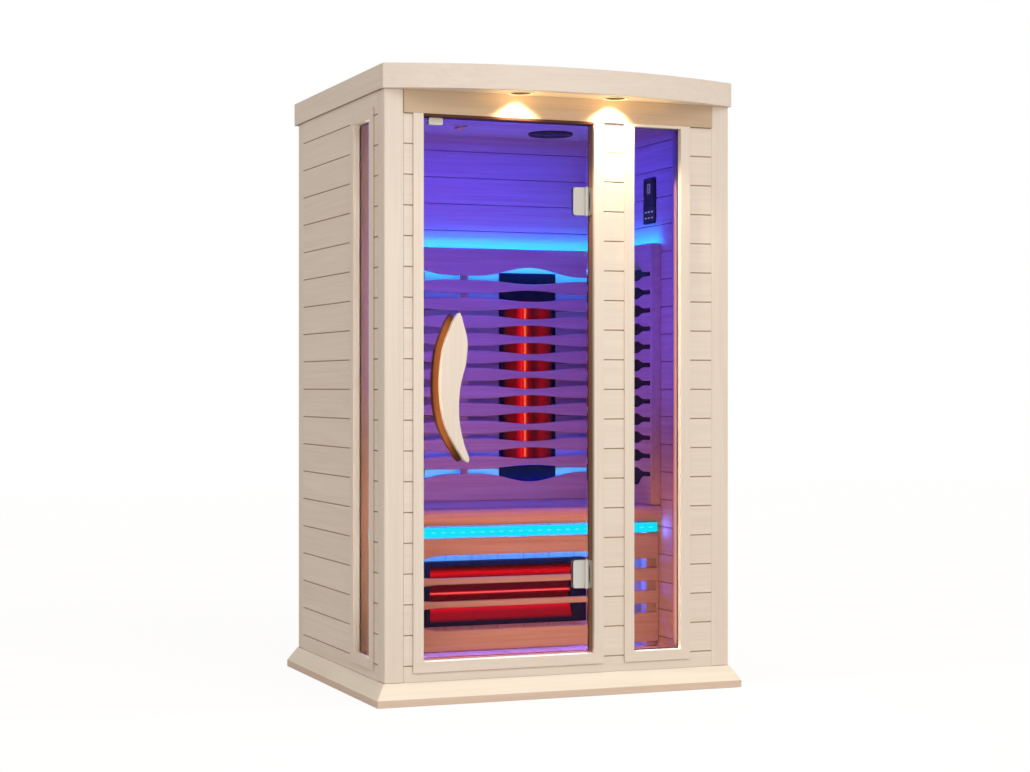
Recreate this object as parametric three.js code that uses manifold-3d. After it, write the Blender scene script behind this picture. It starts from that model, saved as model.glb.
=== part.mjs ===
// Infrared sauna cabin for two, with a hinged glass door.
// Millimetres, +Z up, +X to the right seen from the front, +Y into the cabin.
// The origin lies on the floor, under the middle of the base.

import * as THREE from 'three';
import { mergeVertices } from 'three/addons/utils/BufferGeometryUtils.js';
import Module from 'manifold-3d';

// Shell
const cabinWidth = 1138;
const cabinDepth = 938;
const cabinHeight = 1900;
const wallThickness = 46;
const wallSkin = 12;
const wallStud = 40;
const postLeg = 60;
const postThickness = 25;
const postChamfer = 3;
const boardPitch = 91.2;
const grooveWidth = 5;
const grooveDepth = 3;

// Gap between seated pieces, and overlap of boards that are glued into one piece
const fit = 0.3;
const glueLap = 0.5;

// Base
const plinthHeight = 67;
const plinthFace = 22;
const plinthProjection = 31;
const plinthLip = 2.5;
const floorBoard = 13;
const baseRim = 40;
const baseBearer = 60;
const baseDeck = 12;

// Front and side openings
const headerHeight = 69;
const headerDepth = 25;
const headRail = 8;
const sillHeight = 60;
const trimWidth = 32;
const trimProud = 7;
const jambThickness = 15;
const leftStrip = 29;
const middleStrip = 71;
const rightStrip = 77;
const sideStrip = 38;
const frontWindowWidth = 160;
const sideWindowWidth = 160;
const windowGlass = 6;
const windowRecess = 22;
const glazingGroove = 6;

// Roof
const corniceHeight = 74;
const corniceSide = 7;
const corniceFront = 8;
const corniceBack = 25;
const corniceBow = 113;
const fasciaThickness = 18;
const soffitThickness = 10;
const soffitBearing = 20;
const ceilingDrop = 14;
const ceilingThickness = 16;
const coverThickness = 12;
const coverRecess = 10;
const downlightSpacing = 310;
const downlightCan = 34;
const downlightThroat = 24;
const downlightRim = 8;
const downlightDepth = 30;
const downlightFlange = 3;
const speakerRadius = 76;
const speakerRim = 8;
const speakerCap = 26;
const speakerDepth = 9;
const speakerDish = 2.5;
const speakerFromSide = 261;
const speakerFromBack = 168;

// Door
const doorGlass = 8;
const doorRecess = 40;
const doorGap = 5;
const smallCorner = 4;
const handleHeight = 942;
const handleInset = 95;
const handleThickness = 20;
const handleStandoff = 24;
const handleEdge = 4;
const handleSteps = 34;
const boltSpacing = 260;
const boltRadius = 5;
const spacerRadius = 9;
const hingeWidth = 38;
const hingeLength = 86;
const hingePlate = 5;
const hingeCorner = 8;
const hingeDrop = 234;
const hingeRise = 241;
const knuckleRadius = 7;
const knuckleLength = 50;
const leafThickness = 2.4;
const leafWidth = 36;
const pinRadius = 3;
const pinHead = 2;
const pinHeadRadius = 5.5;
const catchWidth = 44;
const catchHeight = 21;
const catchDepth = 18;
const catchRise = 4;
const catchInset = 19;

// Bench
const seatHeight = 552;
const seatThickness = 26;
const benchDepth = 508;
const noseHeight = 52;
const noseRadius = 23;
const kickSetback = 28;
const kickThickness = 20;
const kickBottom = 18;
const kickGap = 4;
const kickSlotCount = 3;
const kickPlateau = 250;
const kickRamp = 130;
const kickLand = 6;
const kickPostWidth = 36;
const kickPostDepth = 40;
const boardSetback = 133;
const boardThickness = 16;
const benchLightHeight = 30;
const benchLightDepth = 8;
const benchLightDrop = 8;

// Back rests with waved slots
const restDepth = 37;
const restDrop = 391;
const slatThickness = 15;
const slotCount = 12;
const backRamp = 190;
const sidePlateau = 118;
const sideRamp = 52;
const sideSetback = 10;
const stileThickness = 8;
const battenWidth = 30;
const slotLand = 10;
const cornerLand = 12;
const waveStep = 48;
const fewestWaveSteps = 3;

// Slots of the rests and of the bench front, in shares of the pitch from slot to slot:
// the plain margins, the slot's height, and how far its edges swell over a heater
const restSlots = {
  count: slotCount, lowMargin: 1.67, highMargin: 1.67, height: 0.25, swell: 0.2, edgeSwell: 0.51,
};
const kickSlots = {
  count: kickSlotCount, lowMargin: 1.51, highMargin: 1.35, height: 0.42, swell: 0.16, edgeSwell: 0.42,
};

// Heaters
const heaterWidth = 210;
const heaterBack = 6;
const heaterSheet = 2;
const heaterProud = 6;
const heaterRim = 14;
const backHeaterLift = 48;
const backHeaterDrop = 81;
const backHeaterEnd = 97.5;
const legHeaterWidth = 600;
const legHeaterLift = 191;
const legHeaterEnd = 50;
const troughDepth = 34;
const troughFloor = 60;
const tubeRadius = 8;
const tubeLift = 1;
const tubeSocket = 10;
const sideHeaterWidth = 390;
const sideHeaterDepth = 12;

// Lights and controls
const ledWidth = 12;
const ledThickness = 4;
const upperLedDrop = 20;
const lowerLedLift = 32;
const panelWidth = 91;
const panelHeight = 154;
const panelDepth = 6;
const panelCorner = 6;
const panelBevel = 2;
const panelFromNose = 93;
const panelLift = 147;
const screenHeight = 84;
const screenInset = 9;
const screenRecess = 1;

// Planes that the pieces share
const halfWidth = cabinWidth / 2;
const halfDepth = cabinDepth / 2;
const innerX = halfWidth - wallThickness;
const innerY = halfDepth - wallThickness;
const wallTop = cabinHeight - corniceHeight;
const headerBottom = wallTop - headerHeight;
const openingTop = headerBottom - headRail;
const openingBottom = plinthHeight + sillHeight;
const floorTop = plinthHeight + floorBoard;
const trimFront = -halfDepth - trimProud;
const ceilingBottom = wallTop - ceilingDrop;
const frontSpan = halfWidth - postLeg;
const doorLeft = -frontSpan + leftStrip + trimWidth;
const windowRight = frontSpan - rightStrip - trimWidth;
const windowLeft = windowRight - frontWindowWidth;
const doorRight = windowLeft - middleStrip - 2 * trimWidth;
const sideWindowCentre = -halfDepth + postLeg + sideStrip + trimWidth + sideWindowWidth / 2;
const hingeLevels = { upper: openingTop - hingeDrop, lower: openingBottom + hingeRise };
const corniceX = halfWidth + corniceSide;
const corniceY = halfDepth + corniceBack;
const noseFront = innerY - benchDepth;
const kickFront = noseFront + kickSetback;
const kickBack = kickFront + kickThickness;
const restX = innerX - restDepth;
const restY = innerY - restDepth;
const restFront = noseFront + sideSetback;
const restBottom = seatHeight + fit;
const restTop = ceilingBottom - restDrop;
const postFront = kickBack - glueLap;
const heaterX = restX / 2;
const heaterBottom = seatHeight + backHeaterLift;
const backHeaterHeight = restTop - backHeaterDrop - heaterBottom;
const heaterDepth = troughDepth + heaterBack;
const tubeSink = troughDepth - tubeRadius - tubeLift;

const wasm = await Module();
wasm.setup();

const finishes = {
  paleWood: new THREE.MeshStandardMaterial({ color: 0xe6d8c8, roughness: 0.62 }),
  innerWood: new THREE.MeshStandardMaterial({ color: 0xd2a27c, roughness: 0.6 }),
  clearGlass: new THREE.MeshStandardMaterial({
    color: 0xdbe5ea, roughness: 0.05, transparent: true, opacity: 0.3,
  }),
  satinNickel: new THREE.MeshStandardMaterial({ color: 0xc9c6c0, roughness: 0.32, metalness: 1 }),
  ivoryPlastic: new THREE.MeshStandardMaterial({ color: 0xe9e2cf, roughness: 0.45 }),
  blackMetal: new THREE.MeshStandardMaterial({ color: 0x17161a, roughness: 0.5, metalness: 0.6 }),
  blackPlastic: new THREE.MeshStandardMaterial({ color: 0x14141a, roughness: 0.3 }),
  redQuartz: new THREE.MeshStandardMaterial({ color: 0xd8140f, roughness: 0.15, emissive: 0xc01008 }),
  lightStrip: new THREE.MeshStandardMaterial({ color: 0x37d8ff, roughness: 0.4, emissive: 0x10a8ff }),
};

// A closed geometry as a solid that can be joined and cut
function solid(geometry) {
  geometry.deleteAttribute('normal');
  geometry.deleteAttribute('uv');
  const merged = mergeVertices(geometry, 1e-4);
  const corners = merged.index.array;
  const triangles = [];
  for (let i = 0; i < corners.length; i += 3) {
    const [a, b, c] = corners.slice(i, i + 3);
    if (a !== b && b !== c && c !== a) triangles.push(a, b, c);
  }
  return new wasm.Manifold(new wasm.Mesh({
    numProp: 3,
    vertProperties: new Float32Array(merged.attributes.position.array),
    triVerts: new Uint32Array(triangles),
  }));
}

function geometryOf(body) {
  const mesh = body.getMesh();
  const geometry = new THREE.BufferGeometry();
  geometry.setAttribute('position', new THREE.BufferAttribute(mesh.vertProperties, 3));
  geometry.setIndex(new THREE.BufferAttribute(mesh.triVerts, 1));
  geometry.computeVertexNormals();
  return geometry;
}

function place(parent, name, body, finish) {
  const mesh = new THREE.Mesh(geometryOf(body), finish);
  mesh.name = name;
  parent.add(mesh);
  return mesh;
}

function box(low, high) {
  const size = high.map((value, axis) => value - low[axis]);
  const geometry = new THREE.BoxGeometry(...size);
  geometry.translate(...low.map((value, axis) => value + size[axis] / 2));
  return solid(geometry);
}

// Where a shape's own axes and its extrusion point, for a run along each axis of the cabin
const runs = {
  x: [[0, 1, 0], [0, 0, 1], [1, 0, 0]],
  y: [[1, 0, 0], [0, 0, 1], [0, -1, 0]],
  z: [[1, 0, 0], [0, 1, 0], [0, 0, 1]],
};

function extrude(shape, axis, low, high, options = {}) {
  const settings = { bevelEnabled: false, curveSegments: 2, ...options };
  const geometry = new THREE.ExtrudeGeometry(shape, { ...settings, depth: high - low });
  const [right, up, onward] = runs[axis].map((values) => new THREE.Vector3(...values));
  geometry.translate(0, 0, axis === 'y' ? -high : low);
  geometry.applyMatrix4(new THREE.Matrix4().makeBasis(right, up, onward));
  return solid(geometry);
}

function polygon(points) {
  return new THREE.Shape(points.map(([x, y]) => new THREE.Vector2(x, y)));
}

function rectangle(left, low, right, high) {
  return polygon([[left, low], [right, low], [right, high], [left, high]]);
}

function roundedRectangle(left, low, right, high, radius) {
  const shape = new THREE.Shape();
  shape.absarc(right - radius, low + radius, radius, -Math.PI / 2, 0);
  shape.absarc(right - radius, high - radius, radius, 0, Math.PI / 2);
  shape.absarc(left + radius, high - radius, radius, Math.PI / 2, Math.PI);
  shape.absarc(left + radius, low + radius, radius, Math.PI, 1.5 * Math.PI);
  return shape;
}

function cylinder(radius, low, high, sides = 12) {
  const geometry = new THREE.CylinderGeometry(radius, radius, high - low, sides);
  geometry.rotateX(Math.PI / 2);
  geometry.translate(0, 0, (low + high) / 2);
  return solid(geometry);
}

// A turned piece about the Z axis, from points given as radius and height
function turned(points, sides) {
  const geometry = new THREE.LatheGeometry(points.map(([r, z]) => new THREE.Vector2(r, z)), sides);
  geometry.rotateX(Math.PI / 2);
  return solid(geometry);
}

function join(first, ...others) {
  return others.reduce((sum, body) => sum.add(body), first);
}

// Points up one face of a board wall, with a V groove at each joint
function groovedFace(level, inward, joints) {
  return joints.flatMap((at) => [
    [at - grooveWidth / 2, level],
    [at, level + inward * grooveDepth],
    [at + grooveWidth / 2, level],
  ]);
}

// Joints between boards, one pitch apart from a starting joint, inside a span
function jointsBetween(low, high, start) {
  const first = Math.ceil((low + grooveWidth - start) / boardPitch);
  const last = Math.floor((high - grooveWidth - start) / boardPitch);
  return Array.from({ length: last - first + 1 }, (_, i) => start + (first + i) * boardPitch);
}

const cabin = new THREE.Group();
const door = new THREE.Group();
const sauna = new THREE.Group();
sauna.add(cabin, door);

// Each wall is drawn as the front wall is, facing -Y, and turned to its side
const sideTurns = { front: 0, left: -Math.PI / 2, right: Math.PI / 2, back: Math.PI };
const sides = {};
for (const [name, turn] of Object.entries(sideTurns)) {
  sides[name] = new THREE.Group();
  sides[name].rotation.z = turn;
  cabin.add(sides[name]);
}

// Base: a deck on a rim and a middle bearer, with floor boards on top, and four mitred skirting boards
function floorPanel() {
  const edge = innerX - fit;
  const joints = jointsBetween(-edge, edge, boardPitch / 2);
  const top = groovedFace(floorTop, -1, joints);
  const low = plinthHeight - glueLap;
  const boards = polygon([[-edge, low], [-edge, floorTop], ...top, [edge, floorTop], [edge, low]]);
  const bayY = halfDepth - baseRim;
  const [near, far] = [baseBearer / 2, halfWidth - baseRim];
  let base = box([-halfWidth, -halfDepth, 0], [halfWidth, halfDepth, plinthHeight]);
  for (const [left, right] of [[-far, -near], [near, far]]) {
    base = base.subtract(box([left, -bayY, -1], [right, bayY, plinthHeight - baseDeck]));
  }
  return base.add(extrude(boards, 'y', -innerY + fit, innerY - fit));
}

function plinthBoard(plane, half) {
  const section = polygon([
    [fit, 0], [plinthProjection, 0], [plinthProjection, plinthFace],
    [plinthLip, plinthHeight], [fit, plinthHeight],
  ]);
  const geometry = new THREE.ExtrudeGeometry(section, { depth: 2, bevelEnabled: false });
  const points = geometry.attributes.position;
  for (let i = 0; i < points.count; i += 1) {
    const outward = points.getX(i);
    const end = points.getZ(i) > 1 ? -1 : 1;
    points.setXYZ(i, end * (half + outward - fit), -plane - outward, points.getY(i));
  }
  return solid(geometry);
}

place(cabin, 'floor_panel', floorPanel(), finishes.innerWood);
for (const [name, side] of Object.entries(sides)) {
  const isEnd = name === 'front' || name === 'back';
  const board = isEnd ? plinthBoard(halfDepth, halfWidth) : plinthBoard(halfWidth, halfDepth);
  place(side, `plinth_${name}`, board, finishes.paleWood);
}

// Corner posts of L section
function cornerPost() {
  const section = polygon([
    [postChamfer, 0], [postLeg, 0], [postLeg, postThickness], [postThickness, postThickness],
    [postThickness, postLeg], [0, postLeg], [0, postChamfer],
  ]);
  return extrude(section, 'z', plinthHeight + fit, wallTop - fit);
}

const postCorners = {
  front_left: [-1, -1, 0],
  front_right: [1, -1, Math.PI / 2],
  back_right: [1, 1, Math.PI],
  back_left: [-1, 1, -Math.PI / 2],
};
for (const [name, [x, y, turn]] of Object.entries(postCorners)) {
  const post = place(cabin, `post_${name}`, cornerPost(), finishes.paleWood);
  post.position.set(x * halfWidth, y * halfDepth, 0);
  post.rotation.z = turn;
}

// Wall panel: boards grooved on both faces, rebated at both ends behind the corner posts
function wallPanel(plane, outerHalf, innerHalf) {
  const low = plinthHeight + fit;
  const high = wallTop - fit;
  const joints = jointsBetween(low, high, headerBottom);
  const flip = ([z, y]) => [y, z];
  const outside = groovedFace(-plane, 1, joints).map(flip);
  const inside = groovedFace(-plane + wallThickness, -1, joints).map(flip).reverse();
  const section = polygon([
    [-plane, low], ...outside, [-plane, high],
    [-plane + wallThickness, high], ...inside, [-plane + wallThickness, low],
  ]);
  let wall = extrude(section, 'x', -innerHalf, innerHalf);
  for (const end of [-1, 1]) {
    const from = Math.min(end * outerHalf, end * (innerHalf + 1));
    const to = Math.max(end * outerHalf, end * (innerHalf + 1));
    const behindPost = -plane + postThickness + fit;
    wall = wall.subtract(box([from, -plane - 1, low - 1], [to, behindPost, high + 1]));
  }
  return wall;
}

// The hollow between the two skins of a wall, open at the top under the roof
function wallCore(plane, left, right) {
  return box(
    [left, -plane + wallSkin, plinthHeight + wallStud],
    [right, -plane + wallThickness - wallSkin, wallTop],
  );
}

// The hole that a frame stands in
function roughOpening(plane, left, right, headLining) {
  const side = jambThickness + fit;
  return box(
    [left - side, -plane - 1, openingBottom - side],
    [right + side, -plane + wallThickness + 1, openingTop + headLining + fit],
  );
}

// Jamb lining with a flat trim in front of the wall, and a groove for a fixed pane
function openingFrame(plane, left, right, headLining, headTrim, glazed) {
  const front = -plane - trimProud;
  const ring = (side, head) => {
    const shape = rectangle(left - side, openingBottom - side, right + side, openingTop + head);
    shape.holes.push(rectangle(left, openingBottom, right, openingTop));
    return shape;
  };
  const lining = extrude(ring(jambThickness, headLining), 'y', front, -plane + wallThickness);
  const trim = extrude(ring(trimWidth, headTrim), 'y', front, -plane - fit);
  const frame = lining.add(trim);
  if (!glazed) return frame;
  const paneFront = front + windowRecess;
  return frame.subtract(box(
    [left - glazingGroove, paneFront - fit, openingBottom - glazingGroove],
    [right + glazingGroove, paneFront + windowGlass + fit, openingTop + glazingGroove],
  ));
}

function fixedPane(plane, left, right) {
  const reach = glazingGroove - fit;
  const front = -plane - trimProud + windowRecess;
  const pane = rectangle(left - reach, openingBottom - reach, right + reach, openingTop + reach);
  return extrude(pane, 'y', front, front + windowGlass);
}

// Front wall, with the doorway and the tall window
const endWall = [halfDepth, frontSpan - fit, innerX - fit];
const headFit = headRail - fit;
const headerSeat = box(
  [-innerX, -halfDepth - 1, headerBottom - fit],
  [innerX, -halfDepth + headerDepth + fit, wallTop],
);
const frontWall = wallPanel(...endWall)
  .subtract(roughOpening(halfDepth, doorLeft, doorRight, headFit))
  .subtract(roughOpening(halfDepth, windowLeft, windowRight, headFit))
  .subtract(headerSeat);
const header = box(
  [-frontSpan + fit, trimFront, headerBottom],
  [frontSpan - fit, -halfDepth + headerDepth, wallTop - fit],
);
const doorFrame = openingFrame(halfDepth, doorLeft, doorRight, headFit, headFit, false);
const frontFrame = openingFrame(halfDepth, windowLeft, windowRight, headFit, headFit, true);
place(sides.front, 'front_wall', frontWall, finishes.paleWood);
place(sides.front, 'front_header', header, finishes.paleWood);
place(sides.front, 'door_frame', doorFrame, finishes.paleWood);
place(sides.front, 'front_window_frame', frontFrame, finishes.paleWood);
const frontPane = fixedPane(halfDepth, windowLeft, windowRight);
place(sides.front, 'front_window_glass', frontPane, finishes.clearGlass);

// Side walls, each with a tall window near the front
for (const [name, sign] of [['left', -1], ['right', 1]]) {
  const left = sign * sideWindowCentre - sideWindowWidth / 2;
  const right = sign * sideWindowCentre + sideWindowWidth / 2;
  const sideSpan = halfDepth - postLeg;
  const coreFront = sideWindowCentre + sideWindowWidth / 2 + jambThickness + wallStud;
  const [coreLeft, coreRight] = [sign * coreFront, sign * (sideSpan - wallStud)].sort((a, b) => a - b);
  const wall = wallPanel(halfWidth, sideSpan - fit, halfDepth - postThickness - fit)
    .subtract(roughOpening(halfWidth, left, right, jambThickness))
    .subtract(wallCore(halfWidth, coreLeft, coreRight));
  const frame = openingFrame(halfWidth, left, right, jambThickness, trimWidth, true);
  place(sides[name], `${name}_wall`, wall, finishes.paleWood);
  place(sides[name], `${name}_window_frame`, frame, finishes.paleWood);
  place(sides[name], `${name}_window_glass`, fixedPane(halfWidth, left, right), finishes.clearGlass);
}

// Back wall, with a pocket for each back heater
const pocketDepth = heaterDepth - heaterProud;
const backCore = frontSpan - wallStud;
let backWall = wallPanel(...endWall).subtract(wallCore(halfDepth, -backCore, backCore));
for (const x of [-heaterX, heaterX]) {
  backWall = backWall.subtract(box(
    [x - heaterWidth / 2 - fit, -innerY - pocketDepth - fit, heaterBottom - fit],
    [x + heaterWidth / 2 + fit, -innerY + 1, heaterBottom + backHeaterHeight + fit],
  ));
}
place(sides.back, 'back_wall', backWall, finishes.paleWood);

// Roof: a cornice with a bowed front, a cover let in behind it, a soffit and a ceiling
const bowChord = -halfDepth - corniceFront;
const bowRadius = (corniceX ** 2 + corniceBow ** 2) / (2 * corniceBow);
const bowCentre = bowChord - corniceBow + bowRadius;
const bowSteps = { curveSegments: 12 };

function bowAt(x, inset) {
  return bowCentre - Math.sqrt((bowRadius - inset) ** 2 - x ** 2);
}

// Plan outline between two sides, with the bowed front at an inset and a straight back
function bowedPlan(half, inset, back) {
  const radius = bowRadius - inset;
  const sweep = Math.asin(half / radius);
  const shape = new THREE.Shape();
  shape.absarc(0, bowCentre, radius, -Math.PI / 2 - sweep, -Math.PI / 2 + sweep);
  shape.lineTo(half, back);
  shape.lineTo(-half, back);
  return shape;
}

function frontFascia() {
  const inner = bowRadius - fasciaThickness;
  const sweep = Math.asin(corniceX / bowRadius);
  const innerSweep = Math.asin(corniceX / inner);
  const shape = new THREE.Shape();
  shape.absarc(0, bowCentre, bowRadius, -Math.PI / 2 - sweep, -Math.PI / 2 + sweep);
  shape.absarc(0, bowCentre, inner, -Math.PI / 2 + innerSweep, -Math.PI / 2 - innerSweep, true);
  return extrude(shape, 'z', wallTop, cabinHeight, bowSteps);
}

function sideFascia(sign) {
  const outer = corniceX;
  const inner = corniceX - fasciaThickness;
  const behindBow = fasciaThickness + fit;
  const plan = polygon([
    [sign * outer, bowAt(outer, behindBow) + fit], [sign * outer, corniceY],
    [sign * inner, corniceY], [sign * inner, bowAt(inner, behindBow) + fit],
  ]);
  return extrude(plan, 'z', wallTop, cabinHeight);
}

const roofHalf = corniceX - fasciaThickness - fit;
const roofInset = fasciaThickness + fit;
const roofBack = corniceY - fasciaThickness - fit;
const backFascia = box([-roofHalf, roofBack + fit, wallTop], [roofHalf, corniceY, cabinHeight]);
const coverTop = cabinHeight - coverRecess;
const coverPlan = bowedPlan(roofHalf, roofInset, roofBack);
const roofCover = extrude(coverPlan, 'z', coverTop - coverThickness, coverTop, bowSteps);
place(cabin, 'fascia_front', frontFascia(), finishes.paleWood);
place(cabin, 'fascia_left', sideFascia(-1), finishes.paleWood);
place(cabin, 'fascia_right', sideFascia(1), finishes.paleWood);
place(cabin, 'fascia_back', backFascia, finishes.paleWood);
place(cabin, 'roof_cover', roofCover, finishes.paleWood);

const lampSides = 16;
const downlightX = downlightSpacing / 2;
const downlightY = (bowAt(downlightX, roofInset) + trimFront) / 2;
const soffitPlan = bowedPlan(roofHalf, roofInset, -halfDepth + soffitBearing);
let soffit = extrude(soffitPlan, 'z', wallTop, wallTop + soffitThickness, bowSteps);
for (const x of [-downlightX, downlightX]) {
  const hole = cylinder(downlightCan + fit, wallTop - 1, wallTop + soffitThickness + 1, lampSides);
  soffit = soffit.subtract(hole.translate([x, downlightY, 0]));
}
place(cabin, 'soffit_panel', soffit, finishes.paleWood);

function ceilingPanel() {
  const edge = innerY - fit;
  const joints = jointsBetween(-edge, edge, 0);
  const top = ceilingBottom + ceilingThickness;
  const under = groovedFace(ceilingBottom, 1, joints);
  const section = polygon([
    [-edge, top], [-edge, ceilingBottom], ...under, [edge, ceilingBottom], [edge, top],
  ]);
  return extrude(section, 'x', -innerX + fit, innerX - fit);
}
place(cabin, 'ceiling_panel', ceilingPanel(), finishes.innerWood);

// Recessed lamp: a flange under the soffit, a cone and a can above
function downlight() {
  const recess = downlightDepth / 2;
  const rim = downlightCan + downlightRim;
  return turned([
    [0, recess], [downlightThroat, recess], [downlightCan, -downlightFlange / 2],
    [rim - downlightFlange, -downlightFlange], [rim, -downlightFlange / 2],
    [rim, -fit], [downlightCan, -fit], [downlightCan, downlightDepth], [0, downlightDepth],
  ], lampSides);
}
for (const [name, x] of [['left', -downlightX], ['right', downlightX]]) {
  const lamp = place(cabin, `downlight_${name}`, downlight(), finishes.satinNickel);
  lamp.position.set(x, downlightY, wallTop);
}

// Round speaker under the ceiling, with a raised rim and a dished grille round a flat cap
const grilleLevel = speakerDish - speakerDepth;
const speaker = turned([
  [0, grilleLevel], [speakerCap, grilleLevel], [speakerRadius - 2 * speakerRim, grilleLevel],
  [speakerRadius - speakerRim, -speakerDepth], [speakerRadius, grilleLevel], [speakerRadius, 0], [0, 0],
], 20);
const speakerMesh = place(cabin, 'ceiling_speaker', speaker, finishes.blackPlastic);
speakerMesh.position.set(innerX - speakerFromSide, innerY - speakerFromBack, ceilingBottom - fit);

// Door, built about its hinge axis
const glassFront = trimFront + doorRecess;
const hingeX = doorRight - knuckleRadius - leafThickness - 2 * fit;
const hingeY = glassFront - hingePlate;
door.position.set(hingeX, hingeY, 0);
const paneFront = glassFront - hingeY;
const paneBack = paneFront + doorGlass;
const paneLeft = doorLeft + doorGap - hingeX;
const clampEdge = -knuckleRadius - fit;
const notchEdge = clampEdge - leafThickness - fit;
const paneRight = doorRight - doorGap - hingeX;
const paneBottom = openingBottom + doorGap;
const paneTop = openingTop - doorGap;
const handleX = paneLeft + handleInset;
const boltLevels = [handleHeight - boltSpacing / 2, handleHeight + boltSpacing / 2];

let pane = extrude(
  roundedRectangle(paneLeft, paneBottom, paneRight, paneTop, smallCorner), 'y', paneFront, paneBack,
);
for (const level of boltLevels) {
  const hole = cylinder(boltRadius + fit, -doorGlass, doorGlass).rotate([90, 0, 0]);
  pane = pane.subtract(hole.translate([handleX, (paneFront + paneBack) / 2, level]));
}
for (const level of Object.values(hingeLevels)) {
  const reach = hingeLength / 2 + pinHead + 2 * fit;
  pane = pane.subtract(box(
    [notchEdge, paneFront - 1, level - reach], [paneRight + 1, paneBack + 1, level + reach],
  ));
}
place(door, 'door_glass', pane, finishes.clearGlass);

// Leaf-shaped handle, seen from the front, about the middle of its bolts
const handleOutline = [
  [14, 222], [26, 188], [38, 136], [33, 72], [17, 10], [11, -50], [14, -110], [27, -168], [43, -211],
  [37, -224], [17, -203], [-32, -112], [-49, -8], [-41, 104], [-18, 172], [-1, 208],
];

function handleBlade(front, back) {
  const corners = handleOutline.map(([x, z]) => new THREE.Vector3(handleX + x, handleHeight + z, 0));
  const curve = new THREE.CatmullRomCurve3(corners, true);
  const points = curve.getPoints(handleSteps).slice(1);
  const shape = polygon(points.map((point) => [point.x, point.y]));
  const bevel = {
    bevelEnabled: true, bevelSize: handleEdge, bevelOffset: -handleEdge,
    bevelThickness: handleEdge, bevelSegments: 1,
  };
  return extrude(shape, 'y', front + handleEdge, back - handleEdge, bevel);
}
const outerBack = paneFront - handleStandoff;
const innerFront = paneBack + handleStandoff;
const outerBlade = handleBlade(outerBack - handleThickness, outerBack);
const innerBlade = handleBlade(innerFront, innerFront + handleThickness);
place(door, 'handle_outer', outerBlade, finishes.paleWood);
place(door, 'handle_inner', innerBlade, finishes.innerWood);

// Through bolt with a spacer on each face of the glass
function handleBolt(level) {
  const bolt = turned([
    [0, outerBack + fit], [spacerRadius, outerBack + fit], [spacerRadius, paneFront - fit],
    [boltRadius, paneFront - fit], [boltRadius, paneBack + fit], [spacerRadius, paneBack + fit],
    [spacerRadius, innerFront - fit], [0, innerFront - fit],
  ], 10);
  return bolt.rotate([-90, 0, 0]).translate([handleX, 0, level]);
}
place(door, 'handle_bolt_lower', handleBolt(boltLevels[0]), finishes.satinNickel);
place(door, 'handle_bolt_upper', handleBolt(boltLevels[1]), finishes.satinNickel);

// Hinge half on the glass: two plates joined round the edge of the pane, with the middle knuckle
function hingeClamp(level) {
  const low = level - hingeLength / 2;
  const high = level + hingeLength / 2;
  const left = clampEdge - hingeWidth;
  const plate = new THREE.Shape();
  plate.moveTo(clampEdge, low);
  plate.lineTo(clampEdge, high);
  plate.absarc(left + hingeCorner, high - hingeCorner, hingeCorner, Math.PI / 2, Math.PI);
  plate.absarc(left + hingeCorner, low + hingeCorner, hingeCorner, Math.PI, 1.5 * Math.PI);
  const outer = extrude(plate, 'y', paneFront - hingePlate, paneFront - fit);
  const inner = extrude(plate, 'y', paneBack + fit, paneBack + hingePlate);
  const web = box(
    [clampEdge - leafThickness, paneFront - hingePlate, low], [clampEdge, paneBack + hingePlate, high],
  );
  const middleLow = level - knuckleLength / 2;
  const middleHigh = level + knuckleLength / 2;
  const knuckle = cylinder(knuckleRadius, middleLow, middleHigh);
  const arm = box(
    [clampEdge - glueLap, paneFront - hingePlate, middleLow], [0, paneFront - fit, middleHigh],
  );
  const bore = cylinder(pinRadius + fit, middleLow - 1, middleHigh + 1);
  return join(outer, inner, web, knuckle, arm).subtract(bore);
}

// Hinge half on the jamb: a plate with the two end knuckles
function hingeLeaf(level) {
  const face = doorRight - fit - hingeX;
  const plateFace = face - leafThickness;
  const half = hingeLength / 2;
  const reach = leafWidth / 2;
  const plate = roundedRectangle(-reach, level - half, reach, level + half, smallCorner);
  const clear = knuckleLength / 2 + fit;
  let leaf = extrude(plate, 'x', plateFace, face);
  for (const [low, high] of [[level - half, level - clear], [level + clear, level + half]]) {
    const knuckle = cylinder(knuckleRadius, low, high);
    const arm = box([0, -knuckleRadius / 2, low], [plateFace + glueLap, knuckleRadius / 2, high]);
    leaf = join(leaf, knuckle, arm).subtract(cylinder(pinRadius + fit, low - 1, high + 1));
  }
  return leaf;
}

function hingePin(level) {
  const end = hingeLength / 2 + fit;
  const top = end + pinHead;
  return turned([
    [0, -top], [pinHeadRadius, -top], [pinHeadRadius, -end], [pinRadius, -end],
    [pinRadius, end], [pinHeadRadius, end], [pinHeadRadius, top], [0, top],
  ], 10).translate([0, 0, level]);
}

const hingeSeat = new THREE.Group();
hingeSeat.position.copy(door.position);
cabin.add(hingeSeat);
for (const [name, level] of Object.entries(hingeLevels)) {
  place(door, `hinge_clamp_${name}`, hingeClamp(level), finishes.satinNickel);
  place(hingeSeat, `hinge_leaf_${name}`, hingeLeaf(level), finishes.satinNickel);
  place(hingeSeat, `hinge_pin_${name}`, hingePin(level), finishes.satinNickel);
}

const catchLeft = paneLeft + catchInset;
const catchTop = paneTop + catchRise;
const catchPlan = roundedRectangle(
  catchLeft, catchTop - catchHeight, catchLeft + catchWidth, catchTop, smallCorner,
);
const catchBlock = extrude(catchPlan, 'y', paneFront - catchDepth, paneFront - fit);
place(door, 'door_catch', catchBlock, finishes.ivoryPlastic);

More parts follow.
